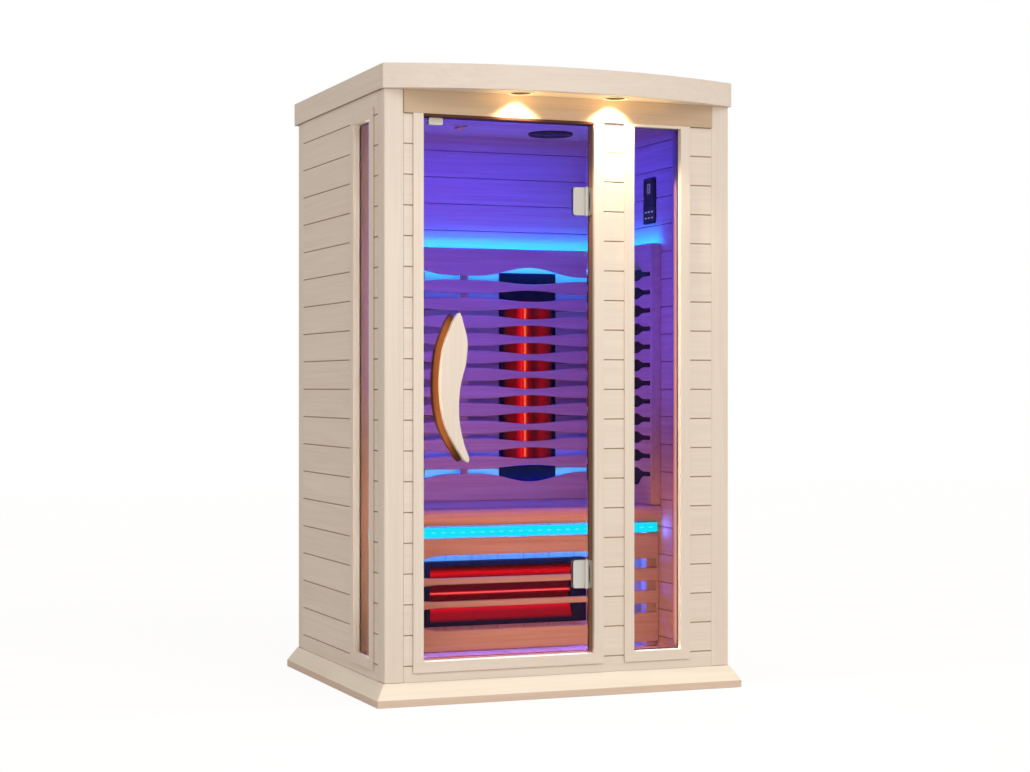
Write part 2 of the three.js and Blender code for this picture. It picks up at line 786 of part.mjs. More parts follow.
// How far a slot has opened at a distance from the middle of its swell, from 0 to 1
function swell(distance, plateau, ramp) {
  const over = Math.min(Math.max((Math.abs(distance) - plateau) / ramp, 0), 1);
  return (1 + Math.cos(Math.PI * over)) / 2;
}

// Places along a slot where its edges bend: the ramps of each swell, and the two ends
function slotStations(from, to, middles, plateau, ramp) {
  const rampSteps = Math.max(fewestWaveSteps, Math.round(ramp / waveStep));
  const stations = [from, to];
  for (const middle of middles) {
    for (let step = 0; step <= rampSteps; step += 1) {
      const offset = plateau + (ramp * step) / rampSteps;
      stations.push(middle - offset, middle + offset);
    }
  }
  const inside = stations.filter((at) => at >= from && at <= to).sort((a, b) => a - b);
  return inside.filter((at, i) => i === 0 || at - inside[i - 1] > glueLap);
}

// A board with waved slots: the slots open over each heater, and the outermost edges swell most
function slottedBoard([left, low, right, high], slots, swells) {
  const { from, to, middles, plateau, ramp } = swells;
  const stations = slotStations(from, to, middles, plateau, ramp);
  const opened = (at) => Math.max(...middles.map((middle) => swell(at - middle, plateau, ramp)));
  const pitch = (high - low) / (slots.count - 1 + slots.lowMargin + slots.highMargin);
  const half = (slots.height * pitch) / 2;
  const board = rectangle(left, low, right, high);
  for (let i = 0; i < slots.count; i += 1) {
    const centre = low + (slots.lowMargin + i) * pitch;
    const below = (i === 0 ? slots.edgeSwell : slots.swell) * pitch;
    const above = (i === slots.count - 1 ? slots.edgeSwell : slots.swell) * pitch;
    const lower = stations.map((at) => [at, centre - half - below * opened(at)]);
    const upper = stations.map((at) => [at, centre + half + above * opened(at)]);
    board.holes.push(polygon([...lower, ...upper.reverse()]));
  }
  return board;
}

const battenEnd = ledThickness + 2 * fit;

// Back rest from wall to wall, on three upright battens
function backRest() {
  const edge = innerX - battenEnd;
  const slotEnd = edge - cornerLand;
  const board = slottedBoard([-edge, restBottom, edge, restTop], restSlots, {
    from: -slotEnd, to: slotEnd, middles: [-heaterX, heaterX], plateau: 0, ramp: backRamp,
  });
  let rest = extrude(board, 'y', restY, restY + slatThickness);
  const middles = [-edge + battenWidth / 2, 0, edge - battenWidth / 2];
  for (const x of middles) {
    rest = rest.add(box(
      [x - battenWidth / 2, restY + slatThickness - glueLap, restBottom],
      [x + battenWidth / 2, innerY - battenEnd, restTop],
    ));
  }
  return rest;
}

// Side rest, with a stile across its front end and a batten at the back
function sideRest(sign) {
  const front = restFront;
  const back = restY - fit;
  const board = slottedBoard([front, restBottom, back, restTop], restSlots, {
    from: front + stileThickness, to: back - slotLand, middles: [(front + back) / 2],
    plateau: sidePlateau, ramp: sideRamp,
  });
  const across = (near, far) => (sign > 0 ? [near, far] : [-far, -near]);
  const [slatLow, slatHigh] = across(restX, restX + slatThickness);
  const [stileLow, stileHigh] = across(restX + slatThickness - glueLap, innerX - fit);
  const [battenLow, battenHigh] = across(restX + slatThickness - glueLap, innerX - battenEnd);
  const stile = box([stileLow, front, restBottom], [stileHigh, front + stileThickness, restTop]);
  const batten = box([battenLow, back - battenWidth, restBottom], [battenHigh, back, restTop]);
  return join(extrude(board, 'x', slatLow, slatHigh), stile, batten);
}
place(cabin, 'back_wave_panel', backRest(), finishes.innerWood);
place(cabin, 'left_wave_panel', sideRest(-1), finishes.innerWood);
place(cabin, 'right_wave_panel', sideRest(1), finishes.innerWood);

// Heater of folded sheet lying along X: a case with an open back, and in it a trough whose mouth
// faces -Y, with a hole for the tube in each end
function heaterTrough(length, end) {
  const half = heaterWidth / 2;
  const mouthEnd = length / 2 - end;
  const mouth = half - heaterRim;
  const trough = (sheet) => {
    const [lip, floor, depth] = [mouth + sheet, troughFloor / 2 + sheet, troughDepth + sheet];
    const section = polygon([[-1, -lip], [-1, lip], [0, lip], [depth, floor], [depth, -floor], [0, -lip]]);
    return extrude(section, 'x', -mouthEnd - sheet, mouthEnd + sheet);
  };
  const housing = box([-length / 2, 0, -half], [length / 2, heaterDepth, half]);
  const inside = box(
    [heaterSheet - length / 2, heaterSheet, heaterSheet - half],
    [length / 2 - heaterSheet, heaterDepth + 1, half - heaterSheet],
  );
  const reach = mouthEnd + tubeSocket + fit;
  const sockets = cylinder(tubeRadius + fit, -reach, reach).rotate([0, 90, 0]);
  return housing
    .subtract(inside.subtract(trough(heaterSheet)))
    .subtract(trough(0))
    .subtract(sockets.translate([0, tubeSink, 0]));
}

function heaterTube(length, end) {
  const reach = length / 2 - end + tubeSocket;
  return cylinder(tubeRadius, -reach, reach).rotate([0, 90, 0]).translate([0, tubeSink, 0]);
}

// Two upright heaters in the back wall, one behind each seat
for (const [name, x] of [['left', -heaterX], ['right', heaterX]]) {
  const upright = new THREE.Group();
  upright.position.set(x, innerY - heaterProud, heaterBottom + backHeaterHeight / 2);
  upright.rotation.y = Math.PI / 2;
  cabin.add(upright);
  const trough = heaterTrough(backHeaterHeight, backHeaterEnd);
  const tube = heaterTube(backHeaterHeight, backHeaterEnd);
  place(upright, `back_heater_${name}`, trough, finishes.blackMetal);
  place(upright, `back_tube_${name}`, tube, finishes.redQuartz);
}

// Flat heaters behind the side rests
for (const [name, sign] of [['left', -1], ['right', 1]]) {
  const middle = (restFront + restY) / 2;
  const outer = innerX - fit;
  const inner = outer - sideHeaterDepth;
  const [low, high] = sign > 0 ? [inner, outer] : [-outer, -inner];
  const heater = box(
    [low, middle - sideHeaterWidth / 2, heaterBottom],
    [high, middle + sideHeaterWidth / 2, heaterBottom + backHeaterHeight],
  );
  place(cabin, `${name}_heater`, heater, finishes.blackPlastic);
}

// Bench: a seat with a rounded nose, a slatted front on two posts, and a board behind it
const benchLightTop = seatHeight - noseHeight - benchLightDrop;

function benchSeat() {
  const back = innerY - fit;
  const noseBack = postFront - fit;
  const section = new THREE.Shape();
  section.moveTo(back, seatHeight);
  section.absarc(noseFront + noseRadius, seatHeight - noseRadius, noseRadius, Math.PI / 2, Math.PI);
  section.absarc(
    noseFront + noseRadius, seatHeight - noseHeight + noseRadius, noseRadius, Math.PI, 1.5 * Math.PI,
  );
  section.lineTo(noseBack, seatHeight - noseHeight);
  section.lineTo(noseBack, seatHeight - seatThickness);
  section.lineTo(back, seatHeight - seatThickness);
  return extrude(section, 'x', -innerX + fit, innerX - fit, { curveSegments: 4 });
}

function kickPanel() {
  const edge = innerX - fit;
  const low = floorTop + kickBottom;
  const high = benchLightTop - benchLightHeight - kickGap;
  const board = slottedBoard([-edge, low, edge, high], kickSlots, {
    from: -edge + kickLand, to: edge - kickLand, middles: [0], plateau: kickPlateau, ramp: kickRamp,
  });
  let panel = extrude(board, 'y', kickFront, kickBack);
  const postTop = seatHeight - seatThickness - fit;
  for (const [left, right] of [[-edge, kickPostWidth - edge], [edge - kickPostWidth, edge]]) {
    panel = panel.add(box(
      [left, postFront, floorTop + fit], [right, kickBack + kickPostDepth, postTop],
    ));
  }
  return panel;
}

const boardFront = kickFront + boardSetback;
const benchBoard = box(
  [-innerX + fit, boardFront, floorTop + fit],
  [innerX - fit, boardFront + boardThickness, seatHeight - seatThickness - fit],
);
place(cabin, 'bench_seat', benchSeat(), finishes.innerWood);
place(cabin, 'bench_kick_panel', kickPanel(), finishes.innerWood);
place(cabin, 'bench_board', benchBoard, finishes.innerWood);

// Leg heater, on the upright board under the bench
const legs = new THREE.Group();
legs.position.set(0, boardFront - fit - heaterDepth, floorTop + legHeaterLift);
cabin.add(legs);
place(legs, 'leg_heater', heaterTrough(legHeaterWidth, legHeaterEnd), finishes.blackMetal);
place(legs, 'leg_tube', heaterTube(legHeaterWidth, legHeaterEnd), finishes.redQuartz);

// Light strip behind the rests: along the top on three walls, down both corners and along the bottom
function coveStrip() {
  const edge = innerX - fit;
  const wall = innerY - fit;
  const upper = restTop - upperLedDrop;
  const lower = seatHeight + lowerLedLift;
  const backRun = (low) => box([-edge, wall - ledThickness, low - ledWidth], [edge, wall, low]);
  let strip = backRun(upper).add(backRun(lower));
  const run = (sign, width) => (sign > 0 ? [edge - width, edge] : [-edge, width - edge]);
  for (const sign of [-1, 1]) {
    const [runLeft, runRight] = run(sign, ledThickness);
    const [riserLeft, riserRight] = run(sign, ledWidth);
    const start = restFront + stileThickness + fit;
    const sideRun = box([runLeft, start, upper - ledWidth], [runRight, wall, upper]);
    const riser = box([riserLeft, wall - ledThickness, lower - ledWidth], [riserRight, wall, upper]);
    strip = join(strip, sideRun, riser);
  }
  return strip;
}
place(cabin, 'cove_led_strip', coveStrip(), finishes.lightStrip);

const benchLight = box(
  [-innerX + fit, postFront - fit - benchLightDepth, benchLightTop - benchLightHeight],
  [innerX - fit, postFront - fit, benchLightTop],
);
place(cabin, 'bench_led_strip', benchLight, finishes.lightStrip);

// Touch panel on the right wall, with a sunk screen
function controlPanel() {
  const middle = noseFront + panelFromNose;
  const left = middle - panelWidth / 2;
  const right = middle + panelWidth / 2;
  const high = restTop + panelLift + panelHeight / 2;
  const low = high - panelHeight;
  const back = innerX - fit;
  const front = back - panelDepth;
  const body = extrude(roundedRectangle(left, low, right, high, panelCorner), 'x', front, back);
  const screenTop = high - screenInset;
  const screen = roundedRectangle(
    left + screenInset, screenTop - screenHeight, right - screenInset, screenTop, panelBevel,
  );
  return body.subtract(extrude(screen, 'x', front - 1, front + screenRecess));
}
place(cabin, 'control_panel', controlPanel(), finishes.blackPlastic);

export default sauna;
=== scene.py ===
"""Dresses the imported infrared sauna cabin: finishes, fine pieces, lamps and camera.

Fields hold millimetres in the row frame (X to the right, Y into the cabin, Z up). Meshes are in metres.
"""

import logging
import math
from dataclasses import dataclass, field
from enum import Enum

import bmesh
import bpy
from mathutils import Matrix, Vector

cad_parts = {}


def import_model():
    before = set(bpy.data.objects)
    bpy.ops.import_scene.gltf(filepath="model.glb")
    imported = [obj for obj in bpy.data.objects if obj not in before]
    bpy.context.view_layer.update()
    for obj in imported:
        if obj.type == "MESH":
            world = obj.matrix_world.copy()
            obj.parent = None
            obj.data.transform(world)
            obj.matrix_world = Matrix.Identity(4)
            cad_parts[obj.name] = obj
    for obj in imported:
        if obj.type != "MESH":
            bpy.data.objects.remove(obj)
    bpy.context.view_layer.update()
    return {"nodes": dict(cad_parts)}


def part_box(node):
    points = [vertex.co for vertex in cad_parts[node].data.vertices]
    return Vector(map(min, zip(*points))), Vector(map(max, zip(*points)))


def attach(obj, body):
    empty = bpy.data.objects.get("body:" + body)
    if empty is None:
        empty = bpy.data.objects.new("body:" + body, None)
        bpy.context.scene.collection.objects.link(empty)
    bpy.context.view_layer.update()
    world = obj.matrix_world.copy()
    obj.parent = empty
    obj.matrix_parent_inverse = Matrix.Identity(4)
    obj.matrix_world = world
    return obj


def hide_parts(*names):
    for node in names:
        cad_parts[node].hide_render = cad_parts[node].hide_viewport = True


log = logging.getLogger("sauna_cabin")

MM = 0.001
FAR = 9000.0
# An edge that turns by more than this is sharp
SHARP_ANGLE = math.radians(34)
# Corners of faces that lie this close are one corner, in millimetres
JOINED = 0.01

Point = tuple[float, float, float]
Flat = tuple[float, float]
Colour = tuple[float, float, float, float]
Tree = bpy.types.NodeTree
Node = bpy.types.Node
Socket = bpy.types.NodeSocket
Material = bpy.types.Material
Value = Socket | float | tuple[float, ...]


class Axis(Enum):
    """An axis of the row frame, by its place in a point."""

    X = 0
    Y = 1
    Z = 2


def linear(code: str) -> Colour:
    """Turn an sRGB hex colour to linear light.

    Args:
        code: the colour as "#rrggbb".

    Returns:
        Linear red, green and blue, with full alpha.
    """
    channels = [int(code[at : at + 2], 16) / 255 for at in (1, 3, 5)]
    red, green, blue = [
        value / 12.92 if value <= 0.04045 else ((value + 0.055) / 1.055) ** 2.4 for value in channels
    ]
    return red, green, blue, 1.0


def shaded(code: str, share: float) -> Colour:
    """Turn a hex colour to linear light with only a share of its brightness."""
    red, green, blue, alpha = linear(code)
    return red * share, green * share, blue * share, alpha


def stretch(axis: Axis, width: float, length: float) -> Point:
    """Scale a pattern that is drawn out along one axis.

    Args:
        axis: the axis along which it is drawn out.
        width: its size across that axis, in millimetres.
        length: its size along that axis.

    Returns:
        The scale on each axis, per metre.
    """
    scale = [1 / (width * MM)] * 3
    scale[axis.value] = 1 / (length * MM)
    return tuple(scale)


def plug(tree: Tree, socket: Socket, value: Value) -> None:
    """Link a socket to another one, or set its own value.

    Args:
        tree: the node tree that holds the socket.
        socket: the input to set.
        value: the other socket or the value.
    """
    if isinstance(value, bpy.types.NodeSocket):
        tree.links.new(value, socket)
    else:
        socket.default_value = value


def add(
    tree: Tree,
    kind: str,
    inputs: dict[str | int, Value] | None = None,
    output: str | int = 0,
    **settings: object,
) -> Socket:
    """Add one node with its settings and links.

    Args:
        tree: the node tree that gets the node.
        kind: the node's type.
        inputs: a value or a socket for each input, by name or place.
        output: which output to hand back.
        **settings: the node's own properties.

    Returns:
        The chosen output socket.
    """
    node = tree.nodes.new(kind)
    for key, value in settings.items():
        setattr(node, key, value)
    for key, value in (inputs or {}).items():
        plug(tree, node.inputs[key], value)
    return node.outputs[output]


def start_material(name: str, sockets: dict[str, Value]) -> tuple[Material, Tree, Node]:
    """Start a material on one Principled shader.

    Args:
        name: the material's name.
        sockets: values that are the same all over the surface, by socket name.

    Returns:
        The material, its node tree and its shader node.
    """
    material = bpy.data.materials.new(name)
    material.use_nodes = True
    tree = material.node_tree
    shader = tree.nodes["Principled BSDF"]
    for key, value in sockets.items():
        shader.inputs[key].default_value = value
    return material, tree, shader


def cover(
    tree: Tree, shader: Node, colour: Socket, rough: dict[str, Value], bump: dict[str, Value]
) -> None:
    """Give a shader a colour, a roughness and a relief that vary over the surface.

    Args:
        tree: the node tree to build in.
        shader: the shader that gets them.
        colour: the colour's socket.
        rough: the pattern of the roughness and its ends.
        bump: the pattern of the relief, its strength and its depth.
    """
    plug(tree, shader.inputs["Base Color"], colour)
    plug(tree, shader.inputs["Roughness"], add(tree, "ShaderNodeMapRange", rough))
    plug(tree, shader.inputs["Normal"], add(tree, "ShaderNodeBump", bump))


@dataclass(frozen=True)
class Zone:
    """A box that picks out part of a solid."""

    low: Point
    high: Point

    def mask(self, tree: Tree, place: Socket) -> Socket:
        """Give 1 inside the box and 0 outside it.

        Args:
            tree: the node tree to build in.
            place: the surface point, in metres.

        Returns:
            The mask's socket.
        """
        axes = add(tree, "ShaderNodeSeparateXYZ", {"Vector": place}).node.outputs
        inside: Value = 1.0
        for axis, low, high in zip(axes, self.low, self.high):
            within = add(
                tree,
                "ShaderNodeMath",
                {0: axis, 1: (low + high) / 2 * MM, 2: (high - low) / 2 * MM},
                operation="COMPARE",
            )
            inside = add(tree, "ShaderNodeMath", {0: within, 1: inside}, operation="MULTIPLY")
        return inside


@dataclass(frozen=True)
class Tone:
    """The light and dark of a wood's figure and the dark of its joints."""

    pale: str
    deep: str
    joint: str


@dataclass(frozen=True)
class Boards:
    """How a boarded face is divided: across which axis, from where, and how far apart."""

    axis: Axis
    start: float
    pitch: float
    joint: float = 3.4
    spread: float = 0.3


@dataclass(frozen=True)
class Timber:
    """Planed softwood board, stained or oiled, with its figure stretched along the grain."""

    name: str
    tone: Tone
    grain: Axis
    boards: Boards | None = None
    linings: tuple[tuple[Zone, Tone], ...] = ()
    stiles: Zone | None = None
    # Growth rings and fibres of hemlock are 1 to 3 mm wide, finer than a pixel here,
    # so both are drawn several times as coarse
    ring: float = 15.0
    fibre: float = 5.0
    length: float = 460.0
    roughness: float = 0.55
    relief: float = 0.25
    # How much more the rings show than the fibres, and where their sum is darkest and lightest
    ring_share: float = 1.4
    contrast: Flat = (0.8, 1.75)
    # Each board takes its figure from another place, up to this many metres off
    board_shift: Point = (5.0, 5.0, 5.0)

    def paint(self, tree: Tree, tone: Tone, figure: Socket, joint: Socket | None) -> Socket:
        """Colour the figure and the joints.

        Args:
            tree: the node tree to build in.
            tone: the wood's colours.
            figure: 0 for the dark of the figure, 1 for the light.
            joint: 1 in the joints between boards, if there are any.

        Returns:
            The colour's socket.
        """
        ends = {0: figure, 6: linear(tone.deep), 7: linear(tone.pale)}
        colour = add(tree, "ShaderNodeMix", ends, output=2, data_type="RGBA")
        if joint is None:
            return colour
        ends = {0: joint, 6: colour, 7: linear(tone.joint)}
        return add(tree, "ShaderNodeMix", ends, output=2, data_type="RGBA")

    def make(self) -> Material:
        """Build the material.

        Returns:
            The wood, with its boards, stiles and linings told apart by place.
        """
        material, tree, shader = start_material(self.name, {"Specular IOR Level": 0.2})
        place = add(tree, "ShaderNodeTexCoord", output="Object")
        sample, tint, joint = place, None, None
        if self.boards:
            axes = add(tree, "ShaderNodeSeparateXYZ", {"Vector": place}).node.outputs
            along = axes[self.boards.axis.value]
            count = 1 / (self.boards.pitch * MM)
            first = -self.boards.start / self.boards.pitch
            step = add(tree, "ShaderNodeMath", {0: along, 1: count, 2: first}, operation="MULTIPLY_ADD")
            number = add(tree, "ShaderNodeMath", {0: step}, operation="FLOOR")
            tint = add(tree, "ShaderNodeTexWhiteNoise", {"W": number}, noise_dimensions="1D")
            shift = {0: tint.node.outputs["Color"], 1: self.board_shift, 2: place}
            sample = add(tree, "ShaderNodeVectorMath", shift, operation="MULTIPLY_ADD")
            beside = add(tree, "ShaderNodeMath", {0: step, 1: 0.5}, operation="PINGPONG")
            edge = self.boards.joint / 2 / self.boards.pitch
            joint = add(tree, "ShaderNodeMath", {0: beside, 1: edge}, operation="LESS_THAN")
        if self.stiles:
            axes = add(tree, "ShaderNodeSeparateXYZ", {"Vector": place}).node.outputs
            laid = add(tree, "ShaderNodeCombineXYZ", {"X": axes["Z"], "Y": axes["Y"], "Z": axes["X"]})
            ends = {0: self.stiles.mask(tree, place), 4: laid, 5: place}
            sample = add(tree, "ShaderNodeMix", ends, output=1, data_type="VECTOR")
        layers = []
        for width, detail in ((self.ring, 3.0), (self.fibre, 2.0)):
            scale = stretch(self.grain, width, self.length)
            scaled = add(tree, "ShaderNodeMapping", {"Vector": sample, "Scale": scale})
            noise = {"Vector": scaled, "Scale": 1.0, "Detail": detail, "Distortion": 0.5}
            layers.append(add(tree, "ShaderNodeTexNoise", noise))
        both = {0: layers[0], 1: self.ring_share, 2: layers[1]}
        mixed = add(tree, "ShaderNodeMath", both, operation="MULTIPLY_ADD")
        if tint:
            toned = {0: tint, 1: self.boards.spread, 2: mixed}
            mixed = add(tree, "ShaderNodeMath", toned, operation="MULTIPLY_ADD")
        dark, light = self.contrast
        figure = add(tree, "ShaderNodeMapRange", {"Value": mixed, "From Min": dark, "From Max": light})
        colour = self.paint(tree, self.tone, figure, joint)
        for zone, tone in self.linings:
            ends = {0: zone.mask(tree, place), 6: colour, 7: self.paint(tree, tone, figure, joint)}
            colour = add(tree, "ShaderNodeMix", ends, output=2, data_type="RGBA")
        rough = {"Value": figure, "To Min": self.roughness + 0.1, "To Max": self.roughness - 0.06}
        bump = {"Height": mixed, "Strength": 0.3, "Distance": self.relief * MM}
        cover(tree, shader, colour, rough, bump)
        return material


@dataclass(frozen=True)
class FloatGlass:
    """Toughened float glass with a coating against reflections: flat, clear, faintly tinted."""

    name: str
    tint: str
    shade: str

    def make(self) -> Material:
        """Build the material.

        Returns:
            Glass that lets the lamps through, shaded, for shadow rays and for scattered light.
        """
        sockets = {
            "Base Color": linear(self.tint),
            "Roughness": 0.0,
            # The coating takes most of the reflection away, so the index is matched lower than bare glass
            "IOR": 1.1,
            "Specular IOR Level": 0.25,
            "Transmission Weight": 1.0,
        }
        material, tree, shader = start_material(self.name, sockets)
        clear = add(tree, "ShaderNodeBsdfTransparent", {"Color": linear(self.shade)})
        surface = shader.outputs[0]
        for ray in ("Is Diffuse Ray", "Is Shadow Ray"):
            share = add(tree, "ShaderNodeLightPath", output=ray)
            surface = add(tree, "ShaderNodeMixShader", {0: share, 1: surface, 2: clear})
        plug(tree, tree.nodes["Material Output"].inputs["Surface"], surface)
        return material


@dataclass(frozen=True)
class BrushedNickel:
    """Nickel-plated zinc casting, satin brushed: a pale warm metal with soft streaks along one axis."""

    name: str
    colour: str
    brush: Axis
    roughness: float = 0.36
    # Brush marks are a tenth of a millimetre wide and are drawn as 1.2 mm
    mark: float = 1.2
    length: float = 60.0

    def make(self) -> Material:
        """Build the material.

        Returns:
            The metal, with its brush marks in colour, gloss and relief.
        """
        material, tree, shader = start_material(self.name, {"Metallic": 1.0})
        place = add(tree, "ShaderNodeTexCoord", output="Object")
        scale = stretch(self.brush, self.mark, self.length)
        scaled = add(tree, "ShaderNodeMapping", {"Vector": place, "Scale": scale})
        marks = add(tree, "ShaderNodeTexNoise", {"Vector": scaled, "Scale": 1.0, "Detail": 2.0})
        shades = {0: marks, 6: shaded(self.colour, 0.86), 7: linear(self.colour)}
        colour = add(tree, "ShaderNodeMix", shades, output=2, data_type="RGBA")
        rough = {"Value": marks, "To Min": self.roughness - 0.08, "To Max": self.roughness + 0.1}
        bump = {"Height": marks, "Strength": 0.15, "Distance": 0.05 * MM}
        cover(tree, shader, colour, rough, bump)
        return material


@dataclass(frozen=True)
class MouldedPlastic:
    """Moulded ABS with a fine spark-eroded texture: an even body colour and a soft, broken gloss."""

    name: str
    colour: str
    roughness: float = 0.42
    # The texture's grit is about 0.2 mm and is drawn as 1.5 mm
    grit: float = 1.5

    def make(self) -> Material:
        """Build the material.

        Returns:
            The plastic, with its grit in colour, gloss and relief.
        """
        sockets = {"IOR": 1.53, "Specular IOR Level": 0.25}
        material, tree, shader = start_material(self.name, sockets)
        place = add(tree, "ShaderNodeTexCoord", output="Object")
        grit = add(tree, "ShaderNodeTexNoise", {"Vector": place, "Scale": 1 / (self.grit * MM)})
        ends = {0: grit, 6: shaded(self.colour, 0.85), 7: linear(self.colour)}
        colour = add(tree, "ShaderNodeMix", ends, output=2, data_type="RGBA")
        rough = {"Value": grit, "To Min": self.roughness - 0.07, "To Max": self.roughness + 0.1}
        bump = {"Height": grit, "Strength": 0.2, "Distance": 0.1 * MM}
        cover(tree, shader, colour, rough, bump)
        return material


@dataclass(frozen=True)
class HeaterSheet:
    """Steel sheet, stove-enamelled black, with a trough in which the glowing tube's reflection is painted
    as dark red and bands of red glow.
    """

    name: str
    trough: Zone
    across: Axis
    middle: float
    # Painted reflection of the tube in the trough: how bright its glow is, by the distance from the tube
    painted_reflection: tuple[Flat, ...]
    reach: float = 100.0
    enamel: str = "#0e061c"
    # Dark red of the trough, a painted reflection of the red tube
    painted_reflection_tint: str = "#2a0608"
    light: str = "#ff0a18"
    # Rolling marks in the sheet break the painted reflection into faint streaks
    mark: float = 3.0
    mark_length: float = 40.0

    def make(self) -> Material:
        """Build the material.

        Returns:
            Matt black enamel, and inside the trough a dark red with bands of red glow, a painted
            reflection of the tube.
        """
        material, tree, shader = start_material(self.name, {"Specular IOR Level": 0.08})
        place = add(tree, "ShaderNodeTexCoord", output="Object")
        inside = self.trough.mask(tree, place)
        axes = add(tree, "ShaderNodeSeparateXYZ", {"Vector": place}).node.outputs
        low, high = [(self.middle + sign * self.reach) * MM for sign in (-1, 1)]
        span = {"Value": axes[self.across.value], "From Min": low, "From Max": high}
        share = add(tree, "ShaderNodeMapRange", span)
        reflection_bands = add(tree, "ShaderNodeValToRGB", {"Fac": share})
        stops = reflection_bands.node.color_ramp.elements
        while len(stops) < len(self.painted_reflection):
            stops.new(1.0)
        for stop, (distance, level) in zip(stops, self.painted_reflection):
            stop.position = (distance / self.reach + 1) / 2
            stop.color = (level, level, level, 1.0)
        rolled = stretch(self.across, self.mark, self.mark_length)
        scaled = add(tree, "ShaderNodeMapping", {"Vector": place, "Scale": rolled})
        marks = add(tree, "ShaderNodeTexNoise", {"Vector": scaled, "Scale": 1.0, "Detail": 1.0})
        streaks = add(tree, "ShaderNodeMapRange", {"Value": marks, "To Min": 0.8, "To Max": 1.2})
        level = add(tree, "ShaderNodeMath", {0: reflection_bands, 1: streaks}, operation="MULTIPLY")
        # The painted reflection glows only inside the trough
        glow = add(tree, "ShaderNodeMath", {0: level, 1: inside}, operation="MULTIPLY")
        ends = {0: inside, 6: linear(self.enamel), 7: linear(self.painted_reflection_tint)}
        colour = add(tree, "ShaderNodeMix", ends, output=2, data_type="RGBA")
        rough = add(tree, "ShaderNodeMapRange", {"Value": marks, "To Min": 0.35})
        plug(tree, shader.inputs["Base Color"], colour)
        plug(tree, shader.inputs["Roughness"], rough)
        plug(tree, shader.inputs["Emission Color"], linear(self.light))
        plug(tree, shader.inputs["Emission Strength"], glow)
        return material


@dataclass(frozen=True)
class Glow:
    """A surface that gives its own light: filament, lamp lens or lit mark."""

    name: str
    colour: str
    strength: float
    body: str = "#202020"
    alpha: float = 1.0

    def make(self) -> Material:
        """Build the material."""
        sockets = {
            "Base Color": linear(self.body),
            "Roughness": 0.2,
            "Emission Color": linear(self.colour),
            "Emission Strength": self.strength,
            "Alpha": self.alpha,
        }
        return start_material(self.name, sockets)[0]


@dataclass(frozen=True)
class DashedStrip:
    """LED tape under a clear cover: a coloured glow with a bright dash at each diode."""

    name: str
    colour: str
    dash: str
    middle: float
    strength: float = 1.0
    # Real tape has a diode each 16.7 mm; every second one is drawn so that the dashes stay apart
    pitch: float = 33.3
    length: float = 18.0
    width: float = 5.0

    def make(self) -> Material:
        """Build the material.

        Returns:
            The glow, with the diodes in a row along X.
        """
        sockets = {"Base Color": linear("#003a4a"), "Roughness": 0.3, "Specular IOR Level": 0.1}
        material, tree, shader = start_material(self.name, sockets)
        place = add(tree, "ShaderNodeTexCoord", output="Object")
        axes = add(tree, "ShaderNodeSeparateXYZ", {"Vector": place}).node.outputs
        beside = {0: axes["X"], 1: self.pitch / 2 * MM}
        off = add(tree, "ShaderNodeMath", beside, operation="PINGPONG")
        along = add(tree, "ShaderNodeMath", {0: off, 1: self.length / 2 * MM}, operation="DIVIDE")
        rise = add(tree, "ShaderNodeMath", {0: axes["Z"], 1: self.middle * MM}, operation="SUBTRACT")
        up = add(tree, "ShaderNodeMath", {0: rise, 1: self.width / 2 * MM}, operation="DIVIDE")
        apart = add(tree, "ShaderNodeCombineXYZ", {"X": along, "Z": up})
        reach = add(tree, "ShaderNodeVectorMath", {0: apart}, output="Value", operation="LENGTH")
        diode = add(tree, "ShaderNodeMapRange", {"Value": reach, "From Min": 1.0, "From Max": 0.5})
        ends = {0: diode, 6: linear(self.colour), 7: linear(self.dash)}
        colour = add(tree, "ShaderNodeMix", ends, output=2, data_type="RGBA")
        plug(tree, shader.inputs["Emission Color"], colour)
        plug(tree, shader.inputs["Emission Strength"], self.strength)
        return material


Finish = Timber | FloatGlass | BrushedNickel | MouldedPlastic | HeaterSheet | Glow | DashedStrip


# Hemlock with a thin white stain: a pale cream surface in which the grain only just shows
LIMED = Tone("#eadccb", "#e2d2c0", "#b39c84")
# The same wood left natural inside the cabin: warm tan to russet, clearly figured
NATURAL = Tone("#d2a88c", "#c09074", "#a87e66")
# The head board over the openings: the same white-stained wood, painted deeper and warmer for the shade
# under the cornice and the warm lamp light on it
HEAD_PAINTED_SHADE = Tone("#ccb396", "#c2a686", "#95785e")
# The inner handle, oiled: orange tan
OILED = Tone("#e6aa6c", "#d09254", "#a07040")
# The plinth's slope: the white-stained wood painted nearly white, a painted highlight for the light on its
# upward face
SLOPE_PAINTED_LIGHT = Tone("#f4e8d5", "#ecddc9", "#b39c84")
# The plinth's lower edge: the white-stained wood painted darker, painted shade on its upright face near
# the floor
EDGE_PAINTED_SHADE = Tone("#e1c9b4", "#d9c0aa", "#b39c84")
# The undersides of the cornice boards, painted dark for the shadow line under the cornice
UNDERSIDE_PAINTED_SHADE = Tone("#a8947e", "#9c8872", "#7a6854")
# The rebate that the glass door closes against: the brown inside wood, painted darker for the shade in the
# doorway
REBATE_PAINTED_SHADE = Tone("#a8805c", "#8c6444", "#5a3a2a")
# The door's head rail, painted dark brown for the shadow line along the top of the door
HEAD_RAIL_PAINTED_SHADOW = Tone("#5c3626", "#4a2a1e", "#3a2018")

HEADER_BOTTOM = 1757.0
BOARD_PITCH = 91.2
